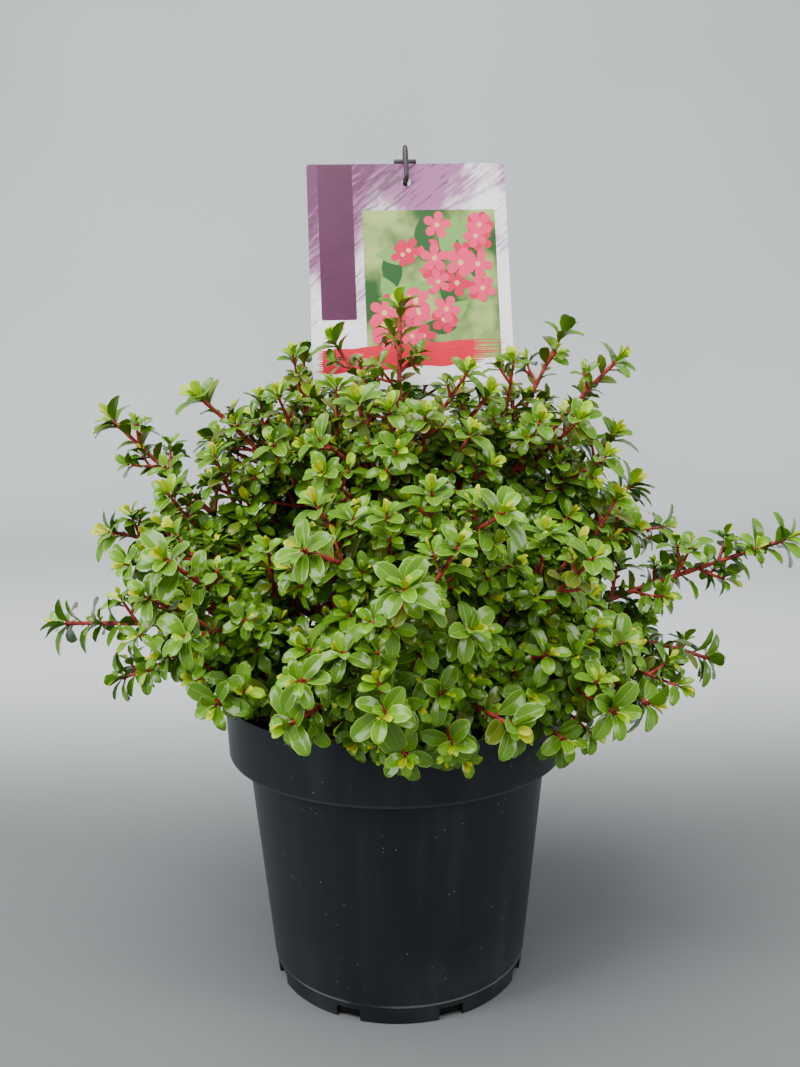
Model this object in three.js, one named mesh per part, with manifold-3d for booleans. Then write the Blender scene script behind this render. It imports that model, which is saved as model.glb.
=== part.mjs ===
// A potted dwarf escallonia: a low evergreen shrub of many red shoots in a black nursery
// pot, with a picture card hung on a hooked plastic stem that is pushed into the compost.
// Millimetres, +Z up. The origin is the middle of the pot's flat underside. +X is to the
// right and -Y is towards the front, the side from which the card is read.
import * as THREE from "three";
import { mergeVertices } from "three/addons/utils/BufferGeometryUtils.js";
import Module from "manifold-3d";

// Driving dimensions of the pot
const POT_HEIGHT = 190;
const RIM_RADIUS = 112.5;
const RIM_FOOT_RADIUS = 110.8;
const RIM_BAND = 38;
const NECK_RADIUS = 98.8;
const BODY_FOOT_RADIUS = 85;
const FOOT_RING_RADIUS = 83.6;
const FOOT_RING_HEIGHT = 12;
const WALL = 1.6;
const POT_SIDES = 36;
const DRAIN_NOTCHES = 8;
const DRAIN_NOTCH = { width: 16, height: 9, depth: 16 };

// Compost, filled nearly to the rim and a little higher round the shrub's foot
const SOIL_EDGE = POT_HEIGHT - 11;
const SOIL_MIDDLE = POT_HEIGHT - 4;
const SOIL_SHOULDER = RIM_RADIUS * 0.55;
const GAP = 0.3;

// Trunk: a short woody foot that flares at the compost and leans a little to the front
const TRUNK = { height: 36, flare: 12.5, foot: 8.2, top: 5.6, lean: [2, -3] };

// Boughs and the leading shoots that each one carries. A shoot's tip is told by its
// azimuth in degrees from +X, its reach from the pot's axis and its height.
const CROWN = {
  top: {
    crown_top: [-60, 12, 444],
    front_top: [-110, 62, 386],
    right_top: [-18, 66, 388],
    left_top: [175, 52, 386],
  },
  left_high: { left_spire: [136, 87, 415], left_shoulder: [185, 126, 388] },
  right_high: {
    right_spire: [19, 124, 428],
    right_shoulder: [-3, 146, 408],
    right_back: [48, 165, 352],
  },
  back_high: { back_top: [78, 88, 405], back_shoulder: [115, 150, 365] },
  front_high: { front_right_upper: [-63, 138, 327], front_left_upper: [-110, 148, 310] },
  right: { right_upper: [2, 148, 360], right_middle: [12, 171, 322], right_outer: [22, 218, 284] },
  front_right: {
    front_right: [-45, 160, 300],
    right_front_low: [-23, 174, 196],
    front_right_low: [-41, 171, 206],
  },
  front: {
    front_centre: [-88, 182, 298],
    front_low: [-92, 168, 226],
    front_right_rim: [-63, 152, 206],
    front_left_rim: [-113, 154, 212],
  },
  left_front: {
    left_front: [-141, 168, 300],
    left_front_low: [-134, 152, 212],
    left_low: [-172, 218, 244],
  },
  left: { left_middle: [181, 190, 299], left_upper: [174, 191, 373] },
  left_back: { left_back: [148, 188, 287], back_low_left: [121, 192, 226] },
  back: { back_middle: [89, 190, 296], back_low_right: [58, 200, 230] },
  right_low: { right_low: [3, 218, 202], right_far: [-5, 255, 292] },
};
const BOUGH = { share: 0.34, foot: 3, tip: 2.4, sides: 6, steps: 5, rise: 9, lowest: 9 };

// Shoots, the side twigs on them and the leaves. Leaves are larger than life, because
// each one stands for the two or three that grow in its place.
const SHOOT = { foot: 2.2, tip: 1.3, steps: 4, bareShare: 0.2, twigEnd: 0.88, short: 13 };
const SHOOT_BEND = { share: 0.25, onward: 0.22, bow: 7 };
const TWIG = { count: 4, length: 46, shrink: 0.45, foot: 1.7, tip: 1.15, tilt: 54, rise: 0.12 };
const TWIG_SHARES = [1, 0.8, 0.6, 0.42];
const LEAF = { length: 37, width: 22, thickness: 2, widest: 0.6, droop: 2.6 };
const ROSETTE = { leaves: 4, tilt: 62, shootLeaves: 5 };
const TWIG_LEAVES = { shares: [0.5], tilt: 56, size: 0.9 };
const STEM_LEAVES = { shares: [0.5, 0.75], tilt: 58, size: 1 };
const OTHER_BEARINGS = [0, 24, -24, 48, -48];
const CROSSING = 0.05;
const SLIVER = 0.1;
const SEED = 7;
const GOLDEN_ANGLE = 137.508;
const SPACE_MARGIN = 1.4;
const LIMB_CLEARANCE = 2;

// Picture card and the hooked stem that holds it
const CARD = { width: 132, height: 150, thickness: 0.8, corner: 2, hole: 3.2, holeDown: 12.5 };
const CARD_TOP = [10.6, 56, 532.6];
const CARD_LEAN = 15;
const CARD_TURN = 4;
const CARD_TILT = 0.5;
const STICK = { radius: 1.6, foot: [9, 40], depth: 45, above: 9, crossBar: [15, 2.8, 2.8] };
const CARD_CLEARANCE = 5;

const wasm = await Module();
wasm.setup();

const rad = THREE.MathUtils.degToRad;
const point = (x, y, z) => new THREE.Vector3(x, y, z);
const UP = point(0, 0, 1);

// A repeatable number from 0 to 1 for a shoot, a twig on it and what it is used for.
function chance(shoot, twig, use) {
  let h = (shoot * 73856093) ^ (twig * 19349663) ^ ((use + SEED) * 83492791);
  h = Math.imul(h ^ (h >>> 15), 2246822519);
  h = Math.imul(h ^ (h >>> 13), 3266489917);
  return ((h ^ (h >>> 16)) >>> 0) / 2 ** 32;
}

const spread = (middle, share, roll) => middle * (1 + share * (2 * roll - 1));

// A direction tilted away from an axis, towards an angle round it
function tilted(axis, tilt, angle) {
  const side = Math.abs(axis.z) > 0.95 ? point(1, 0, 0) : UP.clone();
  const across = side.projectOnPlane(axis).normalize().applyAxisAngle(axis, rad(angle));
  return axis.clone().multiplyScalar(Math.cos(rad(tilt))).addScaledVector(across, Math.sin(rad(tilt)));
}

// Distance from a place to a line of points
const segment = new THREE.Line3();
const nearest = point(0, 0, 0);

function distanceToLine(place, line) {
  let least = Infinity;
  for (let i = 1; i < line.length; i++) {
    segment.set(line[i - 1], line[i]);
    segment.closestPointToPoint(place, true, nearest);
    least = Math.min(least, nearest.distanceTo(place));
  }
  return least;
}

// Solids for joining and cutting, and back to a geometry
function toSolid(geometry) {
  const bare = geometry.clone();
  bare.deleteAttribute("normal");
  bare.deleteAttribute("uv");
  const merged = mergeVertices(bare, 1e-4);
  return new wasm.Manifold(
    new wasm.Mesh({
      numProp: 3,
      vertProperties: merged.attributes.position.array,
      triVerts: new Uint32Array(merged.index.array),
    }),
  );
}

function toGeometry(solid) {
  const mesh = solid.getMesh();
  const geometry = new THREE.BufferGeometry();
  geometry.setAttribute("position", new THREE.BufferAttribute(mesh.vertProperties, 3));
  geometry.setIndex(new THREE.BufferAttribute(mesh.triVerts, 1));
  geometry.computeVertexNormals();
  return geometry;
}

// A turned solid about Z from a profile of [radius, height] that starts and ends on the axis.
function turned(profile, sides) {
  const points = profile.map(([r, z]) => new THREE.Vector2(r, z));
  return new THREE.LatheGeometry(points, sides).rotateX(Math.PI / 2);
}

// A limb that tapers along a curve: a cylinder whose rings are moved onto the curve.
function limb(curve, footRadius, tipRadius, sides, steps) {
  const geometry = new THREE.CylinderGeometry(tipRadius, footRadius, 1, sides, steps);
  const frames = curve.computeFrenetFrames(steps, false);
  const corners = geometry.attributes.position;
  for (let i = 0; i < corners.count; i++) {
    const step = Math.round((corners.getY(i) + 0.5) * steps);
    const place = curve
      .getPointAt(step / steps)
      .addScaledVector(frames.binormals[step], corners.getX(i))
      .addScaledVector(frames.normals[step], corners.getZ(i));
    corners.setXYZ(i, place.x, place.y, place.z);
  }
  return geometry;
}

// Pot
function makePot() {
  const neck = POT_HEIGHT - RIM_BAND;
  const profile = [
    [0, 0],
    [FOOT_RING_RADIUS, 0],
    [FOOT_RING_RADIUS + 0.4, FOOT_RING_HEIGHT - 1],
    [BODY_FOOT_RADIUS, FOOT_RING_HEIGHT],
    [NECK_RADIUS, neck],
    [RIM_FOOT_RADIUS, neck],
    [RIM_RADIUS, POT_HEIGHT - 1.5],
    [RIM_RADIUS - 0.6, POT_HEIGHT],
    [RIM_RADIUS - WALL, POT_HEIGHT],
    [RIM_FOOT_RADIUS - WALL, neck + WALL],
    [NECK_RADIUS - WALL, neck + WALL],
    [FOOT_RING_RADIUS - WALL, WALL],
    [0, WALL],
  ];
  let pot = toSolid(turned(profile, POT_SIDES));
  for (let i = 0; i < DRAIN_NOTCHES; i++) {
    const { width, height, depth } = DRAIN_NOTCH;
    const notch = new THREE.BoxGeometry(depth, width, height);
    notch.translate(FOOT_RING_RADIUS, 0, height / 2 - 1);
    notch.rotateZ(((i + 0.5) * 2 * Math.PI) / DRAIN_NOTCHES);
    pot = pot.subtract(toSolid(notch));
  }
  return toGeometry(pot);
}

// Compost that fills the pot, with a socket for the card's stem
function makeSoil(stickCurve) {
  const neck = POT_HEIGHT - RIM_BAND;
  const inside = WALL + GAP;
  const profile = [
    [0, inside],
    [FOOT_RING_RADIUS - inside - 0.4, inside],
    [NECK_RADIUS - inside - 0.2, neck + inside],
    [RIM_FOOT_RADIUS - inside, neck + inside],
    [RIM_RADIUS - inside - 0.6, SOIL_EDGE],
    [SOIL_SHOULDER, SOIL_MIDDLE - 1.5],
    [0, SOIL_MIDDLE],
  ];
  const socket = limb(stickCurve, STICK.radius + GAP, STICK.radius + GAP, 8, 1);
  return toGeometry(toSolid(turned(profile, POT_SIDES)).subtract(toSolid(socket)));
}

// Trunk
const trunkFoot = point(0, 0, SOIL_MIDDLE + GAP);
const trunkTop = point(TRUNK.lean[0], TRUNK.lean[1], trunkFoot.z + TRUNK.height);
const trunkShare = (z) => THREE.MathUtils.clamp((z - trunkFoot.z) / TRUNK.height, 0, 1);
const trunkMiddle = (z) => trunkFoot.clone().lerp(trunkTop, trunkShare(z));

// The root flare dies away over the lowest quarter of the trunk.
function trunkRadius(z) {
  const share = trunkShare(z);
  const taper = THREE.MathUtils.lerp(TRUNK.foot, TRUNK.top, share);
  return taper + (TRUNK.flare - TRUNK.foot) * Math.max(0, 1 - 4 * share) ** 2;
}

function makeTrunk() {
  const heights = [0, 0.06, 0.13, 0.25, 0.6, 1].map((s) => trunkFoot.z + s * TRUNK.height);
  const profile = [[0, trunkFoot.z], ...heights.map((z) => [trunkRadius(z), z]), [0, trunkTop.z]];
  const geometry = turned(profile, 12);
  const corners = geometry.attributes.position;
  for (let i = 0; i < corners.count; i++) {
    const middle = trunkMiddle(corners.getZ(i));
    corners.setX(i, corners.getX(i) + middle.x);
    corners.setY(i, corners.getY(i) + middle.y);
  }
  return geometry;
}

// Boughs and shoots: first only their lines, so that each knows where the others run.
// A shoot ends a little short of the crown's outline, which its last leaves reach.
function polar(azimuth, reach, height) {
  return point(reach * Math.cos(rad(azimuth)), reach * Math.sin(rad(azimuth)), height);
}

const trunkSolid = toSolid(makeTrunk());
const boughLimb = (curve) => limb(curve, BOUGH.foot, BOUGH.tip, BOUGH.sides, BOUGH.steps);

// A bough leaves the trunk at a height, rises over the pot's rim and ends at its share of
// the way to the middle of the tips that it serves. Its foot is slid in to the trunk.
function boughCurve(aim, height) {
  const foot = trunkMiddle(height);
  const outward = point(aim.x - foot.x, aim.y - foot.y, 0).normalize();
  let away = trunkRadius(height) + 2 * BOUGH.foot;
  let curve;
  for (let slide = 0; slide < 4; slide++) {
    const start = foot.clone().addScaledVector(outward, away);
    const end = start.clone().lerp(aim, BOUGH.share).addScaledVector(UP, BOUGH.rise);
    const bend = start.clone().lerp(end, 0.5).addScaledVector(UP, -0.5 * BOUGH.rise);
    curve = new THREE.QuadraticBezierCurve3(start, bend, end);
    away -= trunkSolid.minGap(toSolid(boughLimb(curve)), 20) - 1.2 * GAP;
  }
  return curve;
}

function topCurve(aim) {
  const start = trunkTop.clone().addScaledVector(UP, GAP);
  const end = start.clone().lerp(aim, BOUGH.share);
  const bend = start.clone().setZ(THREE.MathUtils.lerp(start.z, end.z, 0.5));
  return new THREE.QuadraticBezierCurve3(start, bend, end);
}

// From the flattest to the steepest, each bough takes the lowest place on the trunk from
// which it clears the ones below it.
function planBoughs() {
  const boughs = Object.entries(CROWN).map(([name, tips]) => {
    const ends = Object.values(tips).map((tip) => polar(...tip));
    const aim = ends.reduce((sum, end) => sum.add(end), point(0, 0, 0)).divideScalar(ends.length);
    return { name, tips, aim, slope: (aim.z - trunkTop.z) / Math.hypot(aim.x, aim.y) };
  });
  boughs.sort((a, b) => a.slope - b.slope);
  const placed = [];
  for (const bough of boughs) {
    const top = bough === boughs.at(-1);
    let height = trunkFoot.z + BOUGH.lowest;
    const clears = (other) =>
      bough.curve.getPoints(12).every((p) => distanceToLine(p, other) > 2 * BOUGH.foot + GAP + 0.4);
    do {
      bough.curve = top ? topCurve(bough.aim) : boughCurve(bough.aim, height);
      height += 1;
    } while (!top && !placed.every(clears));
    placed.push(bough.curve.getPoints(12));
  }
  return boughs;
}

// Evenly spaced directions round an axis, in the order and near the bearings of the targets
function fanOut(axis, targets) {
  const u = tilted(axis, 90, 0);
  const v = axis.clone().cross(u);
  const turn = (2 * Math.PI) / targets.length;
  const middle = targets.reduce((sum, t) => sum.add(t), point(0, 0, 0)).divideScalar(targets.length);
  const bearings = targets.map((t) => {
    const aside = t.clone().sub(middle);
    return Math.atan2(aside.dot(v), aside.dot(u));
  });
  const order = bearings.map((_, i) => i).sort((a, b) => bearings[a] - bearings[b]);
  const shifts = order.map((i, rank) => bearings[i] - rank * turn);
  const sum = (f) => shifts.reduce((total, shift) => total + f(shift), 0);
  const phase = Math.atan2(sum(Math.sin), sum(Math.cos));
  return bearings.map((_, i) => {
    const bearing = phase + order.indexOf(i) * turn;
    return u.clone().multiplyScalar(Math.cos(bearing)).addScaledVector(v, Math.sin(bearing));
  });
}

// The shoots on a bough start side by side round its tip and part at once.
function planShoots(boughs) {
  const shoots = [];
  for (const bough of boughs) {
    const along = bough.curve.getTangentAt(1);
    const tip = bough.curve.getPointAt(1).addScaledVector(along, GAP);
    const names = Object.keys(bough.tips);
    const targets = names.map((name) => {
      const outline = polar(...bough.tips[name]);
      return outline.add(tip.clone().sub(outline).setLength(SHOOT.short));
    });
    const aside = names.length > 1 ? SHOOT.foot + GAP : 0;
    fanOut(along, targets).forEach((direction, i) => {
      const number = shoots.length;
      const start = tip.clone().addScaledVector(direction, aside);
      const reach = start.distanceTo(targets[i]);
      const sideways = targets[i].clone().sub(start).cross(UP).normalize();
      const bend = start
        .clone()
        .lerp(targets[i], SHOOT_BEND.share)
        .addScaledVector(along, SHOOT_BEND.onward * reach)
        .addScaledVector(sideways, SHOOT_BEND.bow * (2 * chance(number, 0, 1) - 1));
      const curve = new THREE.QuadraticBezierCurve3(start, bend, targets[i]);
      shoots.push({ name: names[i], number, curve, line: curve.getPoints(8) });
    });
  }
  return shoots;
}

const boughs = planBoughs();
const shoots = planShoots(boughs);

// Space that a shoot's twigs and leaves keep to
const limbLines = [[trunkFoot, trunkTop], ...boughs.map((bough) => bough.curve.getPoints(6))];
const limbRadii = [TRUNK.foot, ...boughs.map(() => BOUGH.foot)];

// The card's own frame: x across, y up its face, z out of its front
const cardFrame = new THREE.Group();
cardFrame.position.set(...CARD_TOP);
cardFrame.rotation.set(rad(90 - CARD_LEAN), 0, rad(CARD_TURN), "ZXY");
cardFrame.rotateZ(rad(CARD_TILT));
cardFrame.updateMatrixWorld(true);
const toCard = cardFrame.matrixWorld.clone().invert();
const onCard = (across, up, out) => point(across, up, out).applyMatrix4(cardFrame.matrixWorld);

// The hooked stem runs up behind the card, over its top edge and down to the hole, where
// the card hangs on its end.
const hookBehind = CARD.thickness / 2 + GAP + STICK.radius;
const stickFoot = point(STICK.foot[0], STICK.foot[1], SOIL_EDGE + 3 - STICK.depth);
const pegDown = CARD.holeDown - CARD.hole + STICK.radius + GAP;
const barPlace = onCard(0, 3.4, -hookBehind - 2);
const stickTop = onCard(0, STICK.above, -hookBehind - 1.5);

function inPot(place) {
  const radius = Math.hypot(place.x, place.y);
  if (place.z > POT_HEIGHT + LIMB_CLEARANCE || radius > RIM_RADIUS + LIMB_CLEARANCE) return false;
  const inWell = radius < RIM_RADIUS - WALL - LIMB_CLEARANCE;
  return !(inWell && place.z > SOIL_MIDDLE + LIMB_CLEARANCE);
}

function onLabel(place) {
  const local = place.clone().applyMatrix4(toCard);
  const besideCard = Math.abs(local.x) > CARD.width / 2 + CARD_CLEARANCE;
  const pastCard = local.y < -CARD.height - CARD_CLEARANCE || local.y > 2 * CARD_CLEARANCE;
  if (!besideCard && !pastCard && Math.abs(local.z) < CARD_CLEARANCE) return true;
  return distanceToLine(place, [stickFoot, stickTop]) < STICK.radius + CARD_CLEARANCE;
}

function free(place, shoot) {
  if (inPot(place) || onLabel(place)) return false;
  const own = distanceToLine(place, shoot.line);
  for (const other of shoots) {
    if (other === shoot) continue;
    const away = distanceToLine(place, other.line);
    if (away < own + SPACE_MARGIN || away < SHOOT.foot + LIMB_CLEARANCE) return false;
  }
  return limbLines.every(
    (line, i) => distanceToLine(place, line) > limbRadii[i] + LIMB_CLEARANCE,
  );
}

// A leaf is a kite folded along its midrib: the midrib from foot to tip stands over the
// line between the two margins by the leaf's thickness, and the tip droops a little.
const LEAF_FACES = [0, 2, 1, 0, 1, 3, 0, 3, 2, 1, 2, 3];

function makeLeaf(size) {
  const half = (LEAF.width / 2) * size;
  const widest = LEAF.length * LEAF.widest * size;
  const margin = -LEAF.droop * LEAF.widest - LEAF.thickness;
  const tip = [0, LEAF.length * size, -LEAF.droop];
  const corners = [[0, 0, 0], tip, [half, widest, margin], [-half, widest, margin]];
  const geometry = new THREE.BufferGeometry();
  geometry.setAttribute("position", new THREE.Float32BufferAttribute(corners.flat(), 3));
  geometry.setIndex(LEAF_FACES);
  return geometry;
}

// A leaf at a foot, pointing along a direction, with its upper face turned to the shoot's tip
function leafAt(foot, axis, direction, size) {
  const face = axis.clone().addScaledVector(UP, 0.5).projectOnPlane(direction).normalize();
  const across = direction.clone().cross(face);
  const frame = new THREE.Matrix4().makeBasis(across, direction, face).setPosition(foot);
  return makeLeaf(size).applyMatrix4(frame);
}

// A leaf is kept only where all of it, but for its foot, lies in the shoot's space.
function leafIsFree(leaf, foot, shoot) {
  const place = leaf.attributes.position;
  const [, tip, right, left] = [0, 1, 2, 3].map((i) => point(0, 0, 0).fromBufferAttribute(place, i));
  const inside = (a, b, shares) => shares.every((s) => free(a.clone().lerp(b, s), shoot));
  return (
    inside(foot, tip, [0.3, 0.65, 1]) &&
    inside(foot, left, [0.35, 0.7, 1]) &&
    inside(foot, right, [0.35, 0.7, 1]) &&
    inside(left, tip, [0.33, 0.67]) &&
    inside(right, tip, [0.33, 0.67])
  );
}

// The longest twig, out of a few lengths, that stays in the shoot's space
function twigCurve(foot, direction, length, shoot) {
  for (const share of TWIG_SHARES) {
    const tip = foot.clone().addScaledVector(direction, share * length);
    tip.addScaledVector(UP, TWIG.rise * share * length);
    const ahead = tip.clone().addScaledVector(direction, 0.35 * LEAF.length);
    if ([0.1, 0.3, 0.5, 0.75, 1].every((s) => free(foot.clone().lerp(ahead, s), shoot)))
      return new THREE.LineCurve3(foot, tip);
  }
  return null;
}

// One mass of foliage: a shoot, its side twigs and their leaves, fused into one solid.
// A leaf that has no room at its own bearing is tried at a few others, then left out.
function growFoliage(shoot) {
  const { number, curve } = shoot;
  const pieces = [toSolid(limb(curve, SHOOT.foot, SHOOT.tip, 3, SHOOT.steps))];
  const addLeaf = (foot, axis, tilt, angle, size) => {
    for (const turn of OTHER_BEARINGS) {
      const leaf = leafAt(foot, axis, tilted(axis, tilt, angle + turn), size);
      if (!leafIsFree(leaf, foot, shoot)) continue;
      const solid = toSolid(leaf);
      if (pieces.some((piece) => solid.intersect(piece).volume() > CROSSING)) continue;
      pieces.push(solid);
      return;
    }
  };
  const addRosette = (line, leaves, twig) => {
    for (let i = 0; i < leaves; i++) {
      const angle = (i * 360) / leaves + 360 * chance(number, twig, 20);
      const tilt = spread(ROSETTE.tilt, 0.15, chance(number, twig, 30 + i));
      const size = spread(0.92, 0.1, chance(number, twig, 40 + i));
      addLeaf(line.getPointAt(0.97), line.getTangentAt(1), tilt, angle, size);
    }
  };
  const twigs = [];
  for (let i = 0; i < TWIG.count; i++) {
    const share = (i + 0.6 * chance(number, i, 2)) / TWIG.count;
    const along = THREE.MathUtils.lerp(SHOOT.bareShare, SHOOT.twigEnd, share);
    const angle = GOLDEN_ANGLE * i + 360 * chance(number, 0, 3);
    const length = spread(TWIG.length * (1 - TWIG.shrink * along), 0.2, chance(number, i, 4));
    const direction = tilted(curve.getTangentAt(along), TWIG.tilt, angle);
    const twig = twigCurve(curve.getPointAt(along), direction, length, shoot);
    if (!twig) continue;
    twigs.push(twig);
    pieces.push(toSolid(limb(twig, TWIG.foot, TWIG.tip, 3, 1)));
  }
  addRosette(curve, ROSETTE.shootLeaves, 0);
  twigs.forEach((twig, i) => {
    addRosette(twig, ROSETTE.leaves, i + 1);
    TWIG_LEAVES.shares.forEach((along, k) => {
      const angle = 180 * k + 360 * chance(number, i, 50);
      const { tilt, size } = TWIG_LEAVES;
      addLeaf(twig.getPointAt(along), twig.getTangentAt(along), tilt, angle, size);
    });
  });
  STEM_LEAVES.shares.forEach((along, i) => {
    const { tilt, size } = STEM_LEAVES;
    const angle = GOLDEN_ANGLE * (i + 7);
    addLeaf(curve.getPointAt(along), curve.getTangentAt(along), tilt, angle, size);
  });
  const bodies = pieces.reduce((all, piece) => all.add(piece)).simplify(SLIVER).decompose();
  return bodies.reduce((a, b) => (b.volume() > a.volume() ? b : a));
}

// Picture card, made flat and placed by its own frame
function makeCard() {
  const { width, height, thickness, corner, hole, holeDown } = CARD;
  const [left, right, low] = [-width / 2, width / 2, -height];
  const outline = new THREE.Shape();
  outline.moveTo(left + corner, low);
  outline.lineTo(right - corner, low);
  outline.absarc(right - corner, low + corner, corner, -Math.PI / 2, 0);
  outline.absarc(right - corner, -corner, corner, 0, Math.PI / 2);
  outline.absarc(left + corner, -corner, corner, Math.PI / 2, Math.PI);
  outline.absarc(left + corner, low + corner, corner, Math.PI, 1.5 * Math.PI);
  outline.holes.push(new THREE.Path().absarc(0, -holeDown, hole, 0, 2 * Math.PI, true));
  const geometry = new THREE.ExtrudeGeometry(outline, {
    depth: thickness,
    bevelEnabled: false,
    curveSegments: 4,
  });
  return geometry.translate(0, 0, -thickness / 2);
}

// A route whose rings are shared out by its own points, not by even lengths
class Route extends THREE.CatmullRomCurve3 {
  getPointAt(share, target) {
    return this.getPoint(share, target);
  }
  getTangentAt(share, target) {
    return this.getTangent(share, target);
  }
}

function makeStick() {
  const route = [
    stickFoot,
    stickFoot.clone().lerp(barPlace, 0.5),
    barPlace,
    stickTop,
    onCard(0, STICK.above + 2.6, 0),
    onCard(0, STICK.above - 2, hookBehind + 1),
    onCard(0, -pegDown + 2.5, hookBehind + 1),
    onCard(0, -pegDown, hookBehind - 1),
    onCard(0, -pegDown, -1.2),
  ];
  const steps = 2 * (route.length - 1);
  const rod = limb(new Route(route, false, "centripetal"), STICK.radius, STICK.radius, 6, steps);
  const bar = new THREE.BoxGeometry(...STICK.crossBar);
  bar.applyQuaternion(cardFrame.quaternion).translate(...barPlace.toArray());
  return toGeometry(toSolid(rod).add(toSolid(bar)));
}

// Assembly
const FINISHES = {
  pot: { color: 0x16191b, roughness: 0.45 },
  soil: { color: 0x2a1d14, roughness: 0.95 },
  wood: { color: 0x6e4630, roughness: 0.8 },
  foliage: { color: 0x4c8a1e, roughness: 0.35 },
  card: { color: 0xd9c3d6, roughness: 0.35 },
  stick: { color: 0x4a4148, roughness: 0.5 },
};

const shrub = new THREE.Group();

function addPiece(name, geometry, finish, parent = shrub) {
  const mesh = new THREE.Mesh(geometry, new THREE.MeshStandardMaterial(FINISHES[finish]));
  mesh.name = name;
  parent.add(mesh);
  return mesh;
}

const socketFoot = stickFoot.clone().lerp(stickTop, -0.003);
addPiece("pot", makePot(), "pot");
addPiece("soil", makeSoil(new THREE.LineCurve3(socketFoot, stickTop)), "soil");
addPiece("trunk", toGeometry(trunkSolid), "wood");
for (const { name, curve } of boughs)
  addPiece("bough_" + name, boughLimb(curve), "wood");

for (const shoot of shoots) {
  const foot = shoot.curve.getPointAt(0);
  const geometry = toGeometry(growFoliage(shoot)).translate(-foot.x, -foot.y, -foot.z);
  addPiece("foliage_" + shoot.name, geometry, "foliage").position.copy(foot);
}

shrub.add(cardFrame);
addPiece("card", makeCard(), "card", cardFrame);
addPiece("card_stem", makeStick(), "stick");

export default shrub;
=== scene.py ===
# %% [markdown]
# # A potted escallonia
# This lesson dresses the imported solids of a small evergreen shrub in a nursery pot.
# The solids fix every place and size. Here each mass of foliage is grown again by the same
# rule, down to real leaves, and the pot, compost, bark and card get their fine shape and
# finish. Lengths are written in millimetres and turned to metres where a mesh is made.

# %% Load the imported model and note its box
import math

import bmesh
import bpy
from mathutils import Euler, Matrix, Vector, noise


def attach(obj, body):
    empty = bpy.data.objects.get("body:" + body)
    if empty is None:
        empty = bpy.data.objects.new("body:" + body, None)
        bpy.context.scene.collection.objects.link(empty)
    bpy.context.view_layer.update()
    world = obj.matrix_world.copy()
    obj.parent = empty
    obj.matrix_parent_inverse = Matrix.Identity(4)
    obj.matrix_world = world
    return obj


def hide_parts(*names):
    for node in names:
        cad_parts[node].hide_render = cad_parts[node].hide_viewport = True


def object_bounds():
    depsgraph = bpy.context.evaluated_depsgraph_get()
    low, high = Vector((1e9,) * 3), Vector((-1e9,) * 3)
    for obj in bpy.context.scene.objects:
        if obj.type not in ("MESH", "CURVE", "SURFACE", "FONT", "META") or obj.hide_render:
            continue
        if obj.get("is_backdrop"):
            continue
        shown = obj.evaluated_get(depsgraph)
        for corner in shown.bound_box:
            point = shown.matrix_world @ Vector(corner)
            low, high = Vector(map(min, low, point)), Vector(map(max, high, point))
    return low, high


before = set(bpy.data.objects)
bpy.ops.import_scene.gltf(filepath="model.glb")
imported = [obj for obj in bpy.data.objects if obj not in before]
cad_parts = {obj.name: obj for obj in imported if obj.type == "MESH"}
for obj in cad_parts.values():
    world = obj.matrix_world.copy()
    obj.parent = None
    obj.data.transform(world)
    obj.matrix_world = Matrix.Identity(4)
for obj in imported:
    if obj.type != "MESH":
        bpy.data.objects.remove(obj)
cad_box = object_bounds()
nodes = sorted(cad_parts)
print("nodes:", len(nodes), "box:", [[round(v, 3) for v in corner] for corner in cad_box])

# %% [markdown]
# ## Camera, light and floor
# The camera stands where the photo was taken from, a little above the shrub, tilted down
# by some nine degrees. Its place was worked out once from the pot's rim and foot, so it is
# written here as plain numbers. Building the camera's matrix from its three directions
# also takes in the slight roll of a hand-held camera, which a Track To constraint would lose.

# %% Set the camera
MM = 0.001
UP = Vector((0, 0, 1))
PHOTO_WIDTH = 800
FOCAL_PIXELS = 1050
PITCH = math.radians(9.23)
ROLL = math.radians(-0.71)
CAMERA_PLACE = Vector((3.8, -673, 402)) * MM


def place_camera():
    ahead = Vector((0, math.cos(PITCH), -math.sin(PITCH)))
    upward = Vector((0, math.sin(PITCH), math.cos(PITCH)))
    level = Vector((1, 0, 0))
    right = level * math.cos(ROLL) + upward * math.sin(ROLL)
    top = upward * math.cos(ROLL) - level * math.sin(ROLL)
    data = bpy.data.cameras.new("camera")
    data.sensor_fit = "HORIZONTAL"
    data.lens = data.sensor_width * FOCAL_PIXELS / PHOTO_WIDTH
    data.clip_start = 0.01
    camera = bpy.data.objects.new("camera", data)
    turn = Matrix((right, top, -ahead)).transposed()
    camera.matrix_world = Matrix.Translation(CAMERA_PLACE) @ turn.to_4x4()
    bpy.context.scene.collection.objects.link(camera)
    bpy.context.scene.camera = camera
    return camera


camera = place_camera()
print("lens:", round(camera.data.lens, 2), "mm")

# %% [markdown]
# Shader maths reads best as plain expressions. The small class below wraps one output of a
# node, and adding, multiplying or comparing two of them adds the Math node that does it.

# %% A wire that can be added and multiplied


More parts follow.
